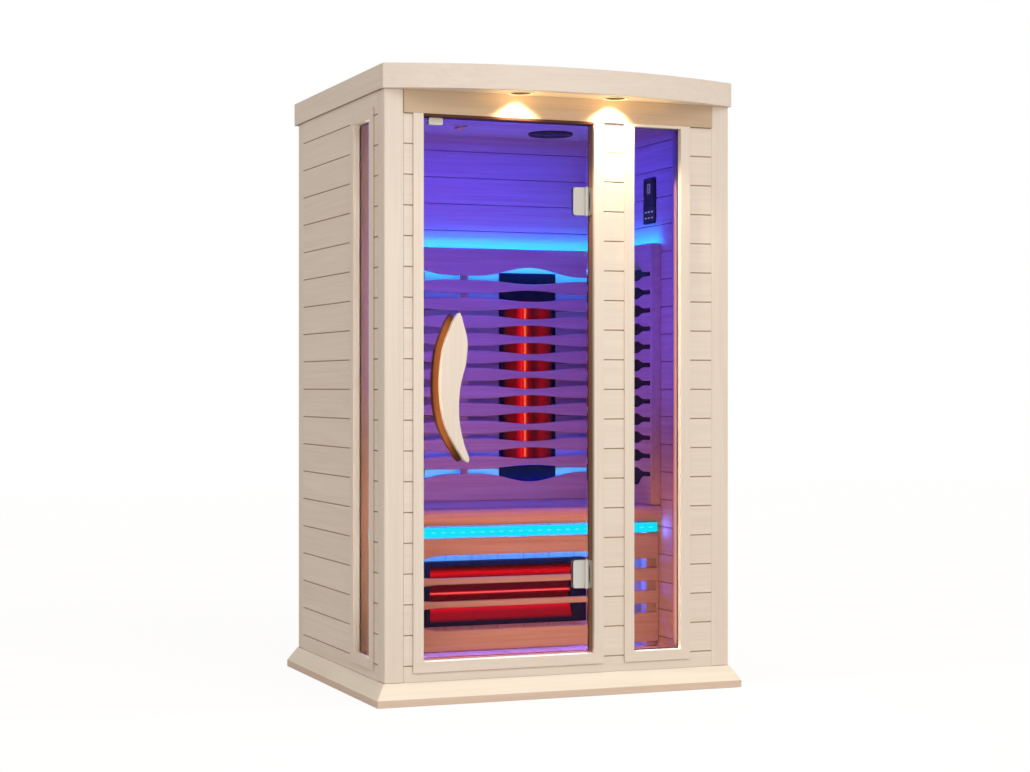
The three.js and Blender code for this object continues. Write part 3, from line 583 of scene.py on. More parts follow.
# Boxes that tell faces of one solid apart: inside faces of the walls and of the window frames, the
# doorway's rebate and head, the upright stiles, the plinth's lower edge and the cornice's underside; the
# rebate, the head, the lower edge and the underside get painted shade
ROOM = Zone((-532.0, -432.0, -FAR), (532.0, 432.0, FAR))
LINED = Zone((-547.0, -447.0, -FAR), (547.0, 447.0, FAR))
DOORWAY = Zone((-448.6, -463.0, 128.0), (105.6, 0.0, 1750.0))
DOOR_HEAD = Zone((-448.6, -FAR, 1748.0), (105.6, FAR, 1760.0))
STILES = Zone((-FAR, -FAR, 127.5), (FAR, FAR, 1748.5))
PLINTH_EDGE = Zone((-FAR, -FAR, -FAR), (FAR, FAR, 22.0))
CORNICE_UNDER = Zone((-FAR, -FAR, -FAR), (FAR, FAR, 1827.0))
WALL_BOARDS = Boards(Axis.Z, HEADER_BOTTOM, BOARD_PITCH)


def limed(name: str, grain: Axis) -> Timber:
    """White-stained board with its grain along one axis."""
    return Timber(name, LIMED, grain)


def natural(name: str, grain: Axis, boards: Boards | None = None) -> Timber:
    """Unstained inside board with its grain along one axis."""
    return Timber(name, NATURAL, grain, boards, ring=18.0)


LIMED_UPRIGHT = limed("limed_hemlock_upright", Axis.Z)
LIMED_ACROSS = limed("limed_hemlock_across", Axis.X)
LIMED_WALL_FRONT = Timber("limed_boards_front", LIMED, Axis.X, WALL_BOARDS, ((ROOM, NATURAL),))
LIMED_WALL_SIDE = Timber("limed_boards_side", LIMED, Axis.Y, WALL_BOARDS, ((ROOM, NATURAL),))
LIMED_WINDOW_FRAME = Timber("limed_window_frame", LIMED, Axis.Z, None, ((LINED, NATURAL),), STILES)
# The door frame: painted shade in the rebate and a painted shadow along the head rail
LIMED_DOOR_FRAME = Timber(
    "limed_door_frame_painted_shade", LIMED, Axis.Z, None, ((DOORWAY, REBATE_PAINTED_SHADE), (DOOR_HEAD, HEAD_RAIL_PAINTED_SHADOW)), STILES
)
# The plinth: a painted highlight on the slope and painted shade on the lower edge
PLINTH_ACROSS = Timber("limed_plinth_across_painted_light", SLOPE_PAINTED_LIGHT, Axis.X, None, ((PLINTH_EDGE, EDGE_PAINTED_SHADE),))
PLINTH_DEEP = Timber("limed_plinth_deep_painted_light", SLOPE_PAINTED_LIGHT, Axis.Y, None, ((PLINTH_EDGE, EDGE_PAINTED_SHADE),))
# The side cornice boards: painted shade on their undersides
CORNICE_DEEP = Timber("limed_cornice_deep_painted_shade", LIMED, Axis.Y, None, ((CORNICE_UNDER, UNDERSIDE_PAINTED_SHADE),))
# The head board: painted shade and painted warm lamp light
LIMED_HEAD = Timber("limed_head_board_painted_shade", HEAD_PAINTED_SHADE, Axis.X)
OILED_HANDLE = Timber("oiled_handle", OILED, Axis.Z)
NATURAL_ACROSS = natural("natural_hemlock_across", Axis.X)
NATURAL_DEEP = natural("natural_hemlock_deep", Axis.Y)
NATURAL_CEILING = natural("natural_boards_ceiling", Axis.X, Boards(Axis.Y, 0.0, BOARD_PITCH))
NATURAL_LINING = natural("natural_boards_lining", Axis.Z, Boards(Axis.X, 0.0, BOARD_PITCH))
NATURAL_FLOOR = natural("natural_boards_floor", Axis.Y, Boards(Axis.X, 0.0, BOARD_PITCH))
CLEAR_GLASS = FloatGlass("toughened_float_glass", "#f4f6f8", "#787478")
SIDE_GLASS = FloatGlass("toughened_side_glass", "#f2f3f4", "#6a6664")
NICKEL_UPRIGHT = BrushedNickel("satin_nickel_upright", "#d9d4cb", Axis.Z)
NICKEL_RING = BrushedNickel("satin_nickel_ring", "#d6c8b4", Axis.X, 0.3)
BRONZE_ABS = MouldedPlastic("bronze_abs", "#5a3f2a", 0.5)
IVORY_ABS = MouldedPlastic("ivory_abs", "#e9e1d2")
BLACK_ABS = MouldedPlastic("black_abs", "#16131c", 0.38)
SPEAKER_ABS = MouldedPlastic("dark_brown_abs", "#4a3028", 0.5)
SCREEN = MouldedPlastic("display_window", "#0c0a14", 0.12, 4.0)


@dataclass
class Shop:
    """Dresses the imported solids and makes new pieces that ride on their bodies."""

    nodes: dict[str, bpy.types.Object]
    made: dict[str, Material] = field(default_factory=dict)

    def material(self, finish: Finish) -> Material:
        """Build a finish once and hand out the same material afterwards.

        Args:
            finish: the finish to build.

        Returns:
            Its material.
        """
        if finish.name not in self.made:
            self.made[finish.name] = finish.make()
        return self.made[finish.name]

    def soften(self, piece: bpy.types.Object, width: float, weld: bool) -> None:
        """Round a piece's sharp edges.

        Args:
            piece: the object to round.
            width: width of the rounding, in millimetres.
            weld: whether the faces must be joined at their corners first.
        """
        if weld:
            piece.modifiers.new("joined_corners", "WELD").merge_threshold = JOINED * MM
        bevel = piece.modifiers.new("rounded_edges", "BEVEL")
        bevel.width = width * MM
        bevel.segments = 2
        bevel.limit_method = "ANGLE"
        bevel.angle_limit = SHARP_ANGLE

    def dress(self, finish: Finish, *names: str, rounded: float = 0.0) -> None:
        """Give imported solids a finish.

        Args:
            finish: the finish to use.
            *names: the nodes that get it.
            rounded: width of the rounding of their edges, in millimetres.
        """
        for name in names:
            solid = self.nodes[name]
            solid.data.materials.clear()
            solid.data.materials.append(self.material(finish))
            if rounded:
                self.soften(solid, rounded, weld=True)
            log.info("dressed %s in %s", name, finish.name)

    def piece(
        self,
        name: str,
        form: bmesh.types.BMesh,
        finish: Finish,
        slot: str,
        stands_for: tuple[str, ...] = (),
        body: str = "cabin",
        rounded: float = 0.0,
    ) -> bpy.types.Object:
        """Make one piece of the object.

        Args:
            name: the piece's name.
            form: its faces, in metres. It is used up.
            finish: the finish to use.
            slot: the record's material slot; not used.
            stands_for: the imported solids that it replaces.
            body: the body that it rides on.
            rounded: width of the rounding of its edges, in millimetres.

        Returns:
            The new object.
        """
        bmesh.ops.recalc_face_normals(form, faces=form.faces)
        mesh = bpy.data.meshes.new(name)
        form.to_mesh(mesh)
        form.free()
        mesh.materials.append(self.material(finish))
        mesh.shade_smooth()
        mesh.set_sharp_from_angle(angle=SHARP_ANGLE)
        piece = bpy.data.objects.new(name, mesh)
        bpy.context.scene.collection.objects.link(piece)
        if rounded:
            self.soften(piece, rounded, weld=False)
        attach(piece, body)
        if stands_for:
            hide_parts(*stands_for)
        log.info("made %s on %s", name, body)
        return piece


def block(form: bmesh.types.BMesh, low: Point, high: Point) -> None:
    """Add a box to a form.

    Args:
        form: the form that gets it.
        low: its lowest corner, in millimetres.
        high: its highest corner, in millimetres.
    """
    size = [end - begin for begin, end in zip(low, high)]
    made = bmesh.ops.create_cube(form, size=1.0)["verts"]
    for vertex in made:
        vertex.co = [(begin + (part + 0.5) * side) * MM for begin, part, side in zip(low, vertex.co, size)]


def spot(axis: Axis, along: float, first: float, second: float) -> Vector:
    """Place a point of an outline that is drawn across an axis.

    Args:
        axis: the axis that the outline is drawn across.
        along: place on that axis, in millimetres.
        first: place on the first of the other two axes.
        second: place on the second of them.

    Returns:
        The point, in metres.
    """
    parts = [first, second]
    parts.insert(axis.value, along)
    return Vector(parts) * MM


def slab(form: bmesh.types.BMesh, outline: list[Flat], axis: Axis, low: float, high: float) -> None:
    """Add a flat outline pulled along an axis.

    Args:
        form: the form that gets it.
        outline: the outline's points on the other two axes, in order of the axes.
        axis: the axis to pull along.
        low: where the pull begins, in millimetres.
        high: where it ends.
    """
    begin = [form.verts.new(spot(axis, low, *point)) for point in outline]
    end = [form.verts.new(spot(axis, high, *point)) for point in outline]
    form.faces.new(begin)
    form.faces.new(end)
    for at in range(len(outline)):
        form.faces.new((begin[at - 1], begin[at], end[at], end[at - 1]))


def turned(form: bmesh.types.BMesh, profile: list[Flat], centre: Point, sides: int = 56) -> None:
    """Add a profile turned about an upright axis.

    Args:
        form: the form that gets it.
        profile: radius and height of each point, from the axis back to the axis, in millimetres.
        centre: the origin of the profile.
        sides: how many steps the turn has.
    """
    rings = []
    for radius, height in profile:
        turns = 1 if radius == 0 else sides
        ring = []
        for step in range(turns):
            angle = 2 * math.pi * step / sides
            offset = Vector((radius * math.cos(angle), radius * math.sin(angle), height))
            ring.append(form.verts.new((Vector(centre) + offset) * MM))
        rings.append(ring)
    for lower, upper in zip(rings, rings[1:]):
        for step in range(sides):
            corners = [lower[(step - 1) % len(lower)], lower[step % len(lower)]]
            corners += [upper[step % len(upper)], upper[(step - 1) % len(upper)]]
            form.faces.new(list(dict.fromkeys(corners)))


def rounded_outline(low: Flat, high: Flat, radius: float, steps: int = 8) -> list[Flat]:
    """Outline of a rectangle with rounded corners.

    Args:
        low: its lowest corner.
        high: its highest corner.
        radius: radius of the corners.
        steps: points on each corner, less one.

    Returns:
        The outline's points, counter-clockwise.
    """
    corners = [
        (high[0] - radius, high[1] - radius),
        (low[0] + radius, high[1] - radius),
        (low[0] + radius, low[1] + radius),
        (high[0] - radius, low[1] + radius),
    ]
    points = []
    for quarter, (across, up) in enumerate(corners):
        for step in range(steps + 1):
            angle = (quarter + step / steps) * math.pi / 2
            points.append((across + radius * math.cos(angle), up + radius * math.sin(angle)))
    return points


@dataclass
class Shell:
    """Base, walls, posts, trims and fixed panes."""

    edge: float = 1.6

    def dress(self, shop: Shop) -> None:
        """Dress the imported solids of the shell.

        Args:
            shop: where the pieces are dressed and made.
        """
        sides = ("left", "right")
        posts = [f"post_{depth}_{side}" for depth in ("front", "back") for side in sides]
        shop.dress(LIMED_UPRIGHT, *posts, rounded=self.edge)
        shop.dress(LIMED_WALL_FRONT, "front_wall", "back_wall")
        shop.dress(LIMED_WALL_SIDE, "left_wall", "right_wall")
        shop.dress(LIMED_HEAD, "front_header")
        shop.dress(LIMED_DOOR_FRAME, "door_frame", rounded=self.edge)
        frames = [f"{side}_window_frame" for side in ("front", *sides)]
        shop.dress(LIMED_WINDOW_FRAME, *frames, rounded=self.edge)
        shop.dress(CLEAR_GLASS, "front_window_glass")
        shop.dress(SIDE_GLASS, *[f"{side}_window_glass" for side in sides])
        shop.dress(PLINTH_ACROSS, "plinth_front", "plinth_back", rounded=self.edge)
        shop.dress(PLINTH_DEEP, "plinth_left", "plinth_right", rounded=self.edge)
        shop.dress(NATURAL_FLOOR, "floor_panel")


@dataclass
class Cornice:
    """Bowed cornice with its soffit and the two lamps in it."""

    half_width: float = 576.0
    chord: float = -477.0
    bow: float = 113.0
    thickness: float = 18.0
    low: float = 1826.0
    high: float = 1900.0
    steps: int = 80
    can: float = 34.0
    rim: float = 42.0
    throat: float = 24.0
    recess: float = 15.0
    can_top: float = 30.0
    edge: float = 1.6

    def bow_line(self, inset: float) -> list[Flat]:
        """Points along the bow in plan, from left to right.

        Args:
            inset: distance inside the front face.

        Returns:
            The points.
        """
        radius = (self.half_width**2 + self.bow**2) / (2 * self.bow)
        centre = self.chord - self.bow + radius
        radius -= inset
        sweep = math.asin(self.half_width / radius)
        points = []
        for step in range(self.steps + 1):
            angle = sweep * (2 * step / self.steps - 1)
            points.append((radius * math.sin(angle), centre - radius * math.cos(angle)))
        return points

    def build(self, shop: Shop) -> None:
        """Make the smooth bowed board and dress the other boards.

        Args:
            shop: where the pieces are dressed and made.
        """
        form = bmesh.new()
        outline = self.bow_line(0.0) + self.bow_line(self.thickness)[::-1]
        slab(form, outline, Axis.Z, self.low, self.high)
        shop.piece("bowed_fascia", form, LIMED_ACROSS, "pale_wood", ("fascia_front",), rounded=self.edge)
        shop.dress(CORNICE_DEEP, "fascia_left", "fascia_right", rounded=self.edge)
        shop.dress(LIMED_ACROSS, "fascia_back", rounded=self.edge)
        shop.dress(LIMED_ACROSS, "roof_cover", "soffit_panel")
        shop.dress(NATURAL_CEILING, "ceiling_panel")
        for side in ("left", "right"):
            self.lamp(shop, side)

    def lamp(self, shop: Shop, side: str) -> None:
        """Make one recessed lamp: a turned ring with a cone, and a domed lens in its throat.

        Args:
            shop: where the pieces are made.
            side: the side that the lamp is on.
        """
        low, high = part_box(f"downlight_{side}")
        middle = (low + high) / 2 / MM
        centre = (middle.x, middle.y, self.low)
        form = bmesh.new()
        # Down the inside of the can, round the rim and up the outside
        ring = [
            (0, self.can_top - 1), (self.can - 2, self.can_top - 1), (self.can - 2, -0.8),
            (self.can, -1.6), (self.rim - 4, -3), (self.rim - 1.5, -2.6), (self.rim, -1.5),
            (self.rim, -0.3), (self.can, -0.3), (self.can, self.can_top), (0, self.can_top),
        ]
        turned(form, ring, centre)
        shop.piece(f"downlight_ring_{side}", form, IVORY_ABS, "ivory_plastic", (f"downlight_{side}",))
        form = bmesh.new()
        # From the throat down the cone to its lip, and up behind it
        cone = [
            (0, self.recess), (self.throat, self.recess), (self.throat + 2, self.recess - 2),
            (self.can - 4, 0.2), (self.can - 2.3, -0.4), (self.can - 2.3, self.recess + 3),
            (0, self.recess + 3),
        ]
        turned(form, cone, centre)
        shop.piece(f"downlight_cone_{side}", form, BRONZE_ABS, "satin_nickel")
        form = bmesh.new()
        face = self.recess - 0.4
        dome = [(0, face - 4), (8, face - 3.6), (15, face - 2.4), (20, face - 0.9), (21, face), (0, face)]
        turned(form, dome, centre, sides=40)
        shop.piece(f"downlight_lens_{side}", form, Glow("warm_lamp_lens", "#ffd9a0", 2.0), "light_strip")


@dataclass
class Door:
    """Frameless glass door with its handles, hinges and catch."""

    handle_x: float = -348.0
    handle_z: float = 942.0
    thickness: float = 20.0
    outer_front: float = -480.0
    inner_front: float = -404.0
    outline: tuple[Flat, ...] = (
        (14, 222), (26, 188), (38, 136), (33, 72), (17, 10), (11, -50), (14, -110), (27, -168),
        (43, -211), (37, -224), (17, -203), (-32, -112), (-49, -8), (-41, 104), (-18, 172), (-1, 208),
    )
    steps: int = 8
    edge: float = 3.0
    edge_steps: int = 4

    def blade(self) -> list[Flat]:
        """Smooth closed curve through the handle's outline.

        Returns:
            Points of the curve, on X and Z.
        """
        points = []
        count = len(self.outline)
        for at in range(count):
            before, here, after, later = [
                Vector(self.outline[(at + step) % count]) for step in (-1, 0, 1, 2)
            ]
            for step in range(self.steps):
                part = step / self.steps
                bend = (after - before) * part
                bend += (2 * before - 5 * here + 4 * after - later) * part**2
                bend += (3 * here - before - 3 * after + later) * part**3
                point = here + bend / 2
                points.append((self.handle_x + point.x, self.handle_z + point.y))
        return points

    def build(self, shop: Shop) -> None:
        """Make the two handles and dress the rest of the door.

        Args:
            shop: where the pieces are dressed and made.
        """
        for name, front, finish, slot in (
            ("outer", self.outer_front, limed("limed_handle", Axis.Z), "pale_wood"),
            ("inner", self.inner_front, OILED_HANDLE, "inner_wood"),
        ):
            form = bmesh.new()
            slab(form, self.blade(), Axis.Y, front, front + self.thickness)
            node = f"handle_{name}"
            handle = shop.piece(f"leaf_{node}", form, finish, slot, (node,), "door", rounded=self.edge)
            handle.modifiers["rounded_edges"].segments = self.edge_steps
        shop.dress(CLEAR_GLASS, "door_glass")
        levels = ("upper", "lower")
        for part in ("hinge_clamp", "hinge_leaf", "hinge_pin", "handle_bolt"):
            shop.dress(NICKEL_UPRIGHT, *[f"{part}_{level}" for level in levels])
        shop.dress(IVORY_ABS, "door_catch", rounded=1.0)


@dataclass
class WavedBoard:
    """A slatted board whose slots swell over the heaters, with the battens that carry it."""

    name: str
    node: str
    run: Axis
    ends: Flat
    slot_ends: Flat
    levels: Flat
    faces: Flat
    count: int
    pitch: float
    # Height of the first slot's middle, height of the slots and their swells, in parts of the pitch
    low_margin: float
    height: float
    swell: float
    edge_swell: float
    middles: tuple[float, ...]
    plateau: float
    ramp: float
    battens: tuple[tuple[Point, Point], ...]
    station: float = 6.0
    edge: float = 1.8

    def opened(self, at: float) -> float:
        """How far the slots have opened at a place along the board.

        Args:
            at: place along the board.

        Returns:
            0 where they are narrow, up to 1 where they are widest.
        """
        nearest = min(abs(at - middle) for middle in self.middles)
        over = min(max((nearest - self.plateau) / self.ramp, 0.0), 1.0)
        return (1 + math.cos(math.pi * over)) / 2

    def rows(self, at: float) -> list[float]:
        """Levels of the slats' edges at a place along the board.

        Args:
            at: place along the board.

        Returns:
            The levels, from the bottom edge to the top edge.
        """
        rows = [self.levels[0]]
        half = self.height * self.pitch / 2
        for slot in range(self.count):
            centre = self.levels[0] + (self.low_margin + slot) * self.pitch
            below = self.edge_swell if slot == 0 else self.swell
            above = self.edge_swell if slot == self.count - 1 else self.swell
            rows.append(centre - half - below * self.pitch * self.opened(at))
            rows.append(centre + half + above * self.pitch * self.opened(at))
        return rows + [self.levels[1]]

    def build(self, shop: Shop) -> None:
        """Make the board as one net of slats, give it its thickness and add the battens.

        Args:
            shop: where the piece is made.
        """
        begin, end = self.slot_ends
        spaces = round((end - begin) / self.station)
        stations = [begin + (end - begin) * step / spaces for step in range(spaces + 1)]
        stations = [self.ends[0], *stations, self.ends[1]]
        across = Axis.Y if self.run is Axis.X else Axis.X
        form = bmesh.new()
        net = []
        for at in stations:
            place = [(at, level) for level in self.rows(at)]
            net.append([form.verts.new(spot(across, self.faces[0], *point)) for point in place])
        for column in range(len(stations) - 1):
            plain = column in (0, len(stations) - 2)
            here, beyond = net[column], net[column + 1]
            for row in range(len(here) - 1):
                if plain or row % 2 == 0:
                    form.faces.new((here[row], beyond[row], beyond[row + 1], here[row + 1]))
        grown = bmesh.ops.extrude_face_region(form, geom=form.faces[:])["geom"]
        back = [part for part in grown if isinstance(part, bmesh.types.BMVert)]
        depth = spot(across, self.faces[1] - self.faces[0], 0.0, 0.0)
        bmesh.ops.translate(form, verts=back, vec=depth)
        for low, high in self.battens:
            block(form, low, high)
        finish = NATURAL_ACROSS if self.run is Axis.X else NATURAL_DEEP
        shop.piece(self.name, form, finish, "inner_wood", (self.node,), rounded=self.edge)


HEATER_OFFSET = 243.0
REST_LEVELS = (552.3, 1421.0)
# Slots of a rest: how many, how far apart, and their form in parts of that distance
REST_SLOTS = {
    "count": 12, "pitch": 60.58, "low_margin": 1.67, "height": 0.25, "swell": 0.2, "edge_swell": 0.51,
}


def back_rest() -> WavedBoard:
    """The rest along the back wall, over two heaters.

    Returns:
        The board.
    """
    low, high = REST_LEVELS
    battens = tuple(
        ((middle - 15.0, 400.5, low), (middle + 15.0, 418.4, high)) for middle in (-503.4, 0.0, 503.4)
    )
    return WavedBoard(
        "waved_back_rest", "back_wave_panel", Axis.X, ends=(-518.4, 518.4), slot_ends=(-506.4, 506.4),
        levels=REST_LEVELS, faces=(386.0, 401.0), **REST_SLOTS, middles=(-HEATER_OFFSET, HEATER_OFFSET),
        plateau=0.0, ramp=190.0, battens=battens,
    )


def side_rest(side: str, sign: int) -> WavedBoard:
    """The rest along one side wall, over one flat heater.

    Args:
        side: the side's name.
        sign: -1 on the left, 1 on the right.

    Returns:
        The board.
    """
    def upright(near: float, far: float, front: float, back: float) -> tuple[Point, Point]:
        """Corners of an upright behind the board."""
        left, right = sorted((sign * near, sign * far))
        return (left, front, REST_LEVELS[0]), (right, back, REST_LEVELS[1])

    battens = (upright(500.5, 522.7, -75.0, -67.0), upright(500.5, 518.4, 355.7, 385.7))
    return WavedBoard(
        f"waved_{side}_rest", f"{side}_wave_panel", Axis.Y, ends=(-75.0, 385.7), slot_ends=(-67.0, 375.7),
        levels=REST_LEVELS, faces=(sign * 486.0, sign * 501.0), **REST_SLOTS, middles=(155.35,),
        plateau=118.0, ramp=52.0, battens=battens,
    )


def bench_front() -> WavedBoard:
    """The slatted bench front with its two posts.

    Returns:
        The board.
    """
    posts = tuple(((left, -37.5, 80.3), (left + 36.0, 3.0, 525.7)) for left in (-522.7, 486.7))
    return WavedBoard(
        "waved_bench_front", "bench_kick_panel", Axis.X, ends=(-522.7, 522.7), slot_ends=(-516.7, 516.7),
        levels=(98.0, 458.0), faces=(-57.0, -37.0), count=3, pitch=74.07, low_margin=1.51, height=0.42,
        swell=0.16, edge_swell=0.42, middles=(0.0,), plateau=250.0, ramp=130.0, battens=posts, edge=2.5,
    )


@dataclass
class Bench:
    """Seat board with a rounded nose, and the boards under it."""

    half_width: float = 522.7
    nose_front: float = -85.0
    nose_back: float = -37.8
    back: float = 422.7
    top: float = 552.0
    under: float = 526.0
    nose_bottom: float = 500.0
    nose_radius: float = 23.0
    steps: int = 14
    edge: float = 1.2

    def build(self, shop: Shop) -> None:
        """Make the seat and the waved front, and dress the upright board.

        Args:
            shop: where the pieces are dressed and made.
        """
        radius = self.nose_radius
        centre = self.nose_front + radius
        outline = [(self.back, self.under), (self.back, self.top)]
        for level, first in ((self.top - radius, 1), (self.nose_bottom + radius, 2)):
            for step in range(self.steps + 1):
                angle = (first + step / self.steps) * math.pi / 2
                outline.append((centre + radius * math.cos(angle), level + radius * math.sin(angle)))
        outline += [(self.nose_back, self.nose_bottom), (self.nose_back, self.under)]
        form = bmesh.new()
        slab(form, outline, Axis.X, -self.half_width, self.half_width)
        shop.piece("nosed_seat", form, NATURAL_ACROSS, "inner_wood", ("bench_seat",), rounded=self.edge)
        bench_front().build(shop)
        shop.dress(NATURAL_LINING, "bench_board")


@dataclass
class Heaters:
    """Heater troughs with their quartz tubes and glowing coils."""

    coil_radius: float = 2.2
    wire: float = 0.8
    # The real coil has a turn each 2 mm or so; it is drawn with a turn each 9 mm so that it shows
    turn: float = 9.0
    turn_steps: int = 10
    coil_margin: float = 12.0
    trough_half: float = 91.5
    # Upright troughs behind the back rest: where they begin in depth, and their levels
    upright_front: float = 418.2
    upright_levels: Flat = (697.0, 1243.0)
    # Level trough under the bench: where it begins in depth, and half its length
    level_front: float = 36.9
    level_half: float = 249.5
    # Painted reflections of the tubes in the troughs: distance from the tube, and how bright the glow is
    upright_painted_reflection: tuple[Flat, ...] = (
        (-84.0, 0.03), (-70.0, 0.09), (-56.0, 0.13), (-32.0, 0.14), (-20.0, 0.42), (-10.0, 0.86),
        (0.0, 0.62), (10.0, 0.4), (20.0, 0.18), (30.0, 0.08), (42.0, 0.08), (52.0, 0.2), (60.0, 0.27),
        (70.0, 0.17), (82.0, 0.09), (91.0, 0.02),
    )
    level_painted_reflection: tuple[Flat, ...] = (
        (-90.0, 0.04), (-85.0, 0.18), (-79.0, 0.3), (-66.0, 0.31), (-59.0, 0.44), (-50.0, 0.7),
        (-44.0, 0.08), (44.0, 0.07), (49.0, 0.13), (55.0, 0.32), (61.0, 0.6), (67.0, 0.72),
        (74.0, 0.33), (80.0, 0.1), (87.0, 0.03),
    )

    def coil(self, shop: Shop, name: str, tube: str, glow: Glow) -> None:
        """Wind a wire coil along the middle of a tube.

        Args:
            shop: where the piece is made.
            name: the piece's name.
            tube: the tube's node.
            glow: the wire's light.
        """
        low, high = [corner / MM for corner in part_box(tube)]
        middle = (low + high) / 2
        size = high - low
        axis = max(range(3), key=lambda place: size[place])
        others = [place for place in range(3) if place != axis]
        length = size[axis] - 2 * self.coil_margin
        count = round(length / self.turn) * self.turn_steps
        curve = bpy.data.curves.new(name, "CURVE")
        curve.dimensions = "3D"
        curve.bevel_depth = self.wire * MM
        curve.bevel_resolution = 2
        line = curve.splines.new("POLY")
        line.points.add(count)
        for step, point in enumerate(line.points):
            angle = 2 * math.pi * step / self.turn_steps
            place = middle.copy()
            place[axis] += length * (step / count - 0.5)
            place[others[0]] += self.coil_radius * math.cos(angle)
            place[others[1]] += self.coil_radius * math.sin(angle)
            point.co = (*(place * MM), 1.0)
        curve.materials.append(shop.material(glow))
        wire = bpy.data.objects.new(name, curve)
        bpy.context.scene.collection.objects.link(wire)
        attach(wire, "cabin")
        log.info("made %s on cabin", name)

    def build(self, shop: Shop) -> None:
        """Dress the heaters and wind their coils.

        Args:
            shop: where the pieces are dressed and made.
        """
        quartz = Glow("ruby_quartz", "#f01008", 0.55, "#3a0504", 0.55)
        dim_quartz = Glow("dim_ruby_quartz", "#a8081c", 0.5, "#3a0504", 0.55)
        bright_wire = Glow("glowing_heating_wire", "#ff9a50", 3.2)
        red_wire = Glow("red_heating_wire", "#ff4e4c", 6.0)
        half = self.trough_half
        bottom, top = self.upright_levels
        for side, middle in (("left", -HEATER_OFFSET), ("right", HEATER_OFFSET)):
            trough = Zone((middle - half, self.upright_front, bottom), (middle + half, FAR, top))
            sheet = HeaterSheet(f"heater_sheet_painted_reflection_{side}", trough, Axis.X, middle, self.upright_painted_reflection)
            shop.dress(sheet, f"back_heater_{side}")
            shop.dress(quartz, f"back_tube_{side}")
            self.coil(shop, f"heating_coil_{side}", f"back_tube_{side}", bright_wire)
        low, high = [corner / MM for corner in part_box("leg_heater")]
        middle = (low.z + high.z) / 2
        end = self.level_half
        trough = Zone((-end, self.level_front, middle - half), (end, FAR, middle + half))
        sheet = HeaterSheet("heater_sheet_painted_reflection_leg", trough, Axis.Z, middle, self.level_painted_reflection, enamel="#22151f")
        shop.dress(sheet, "leg_heater")
        shop.dress(dim_quartz, "leg_tube")
        self.coil(shop, "heating_coil_leg", "leg_tube", red_wire)
        shop.dress(BLACK_ABS, "left_heater", "right_heater")


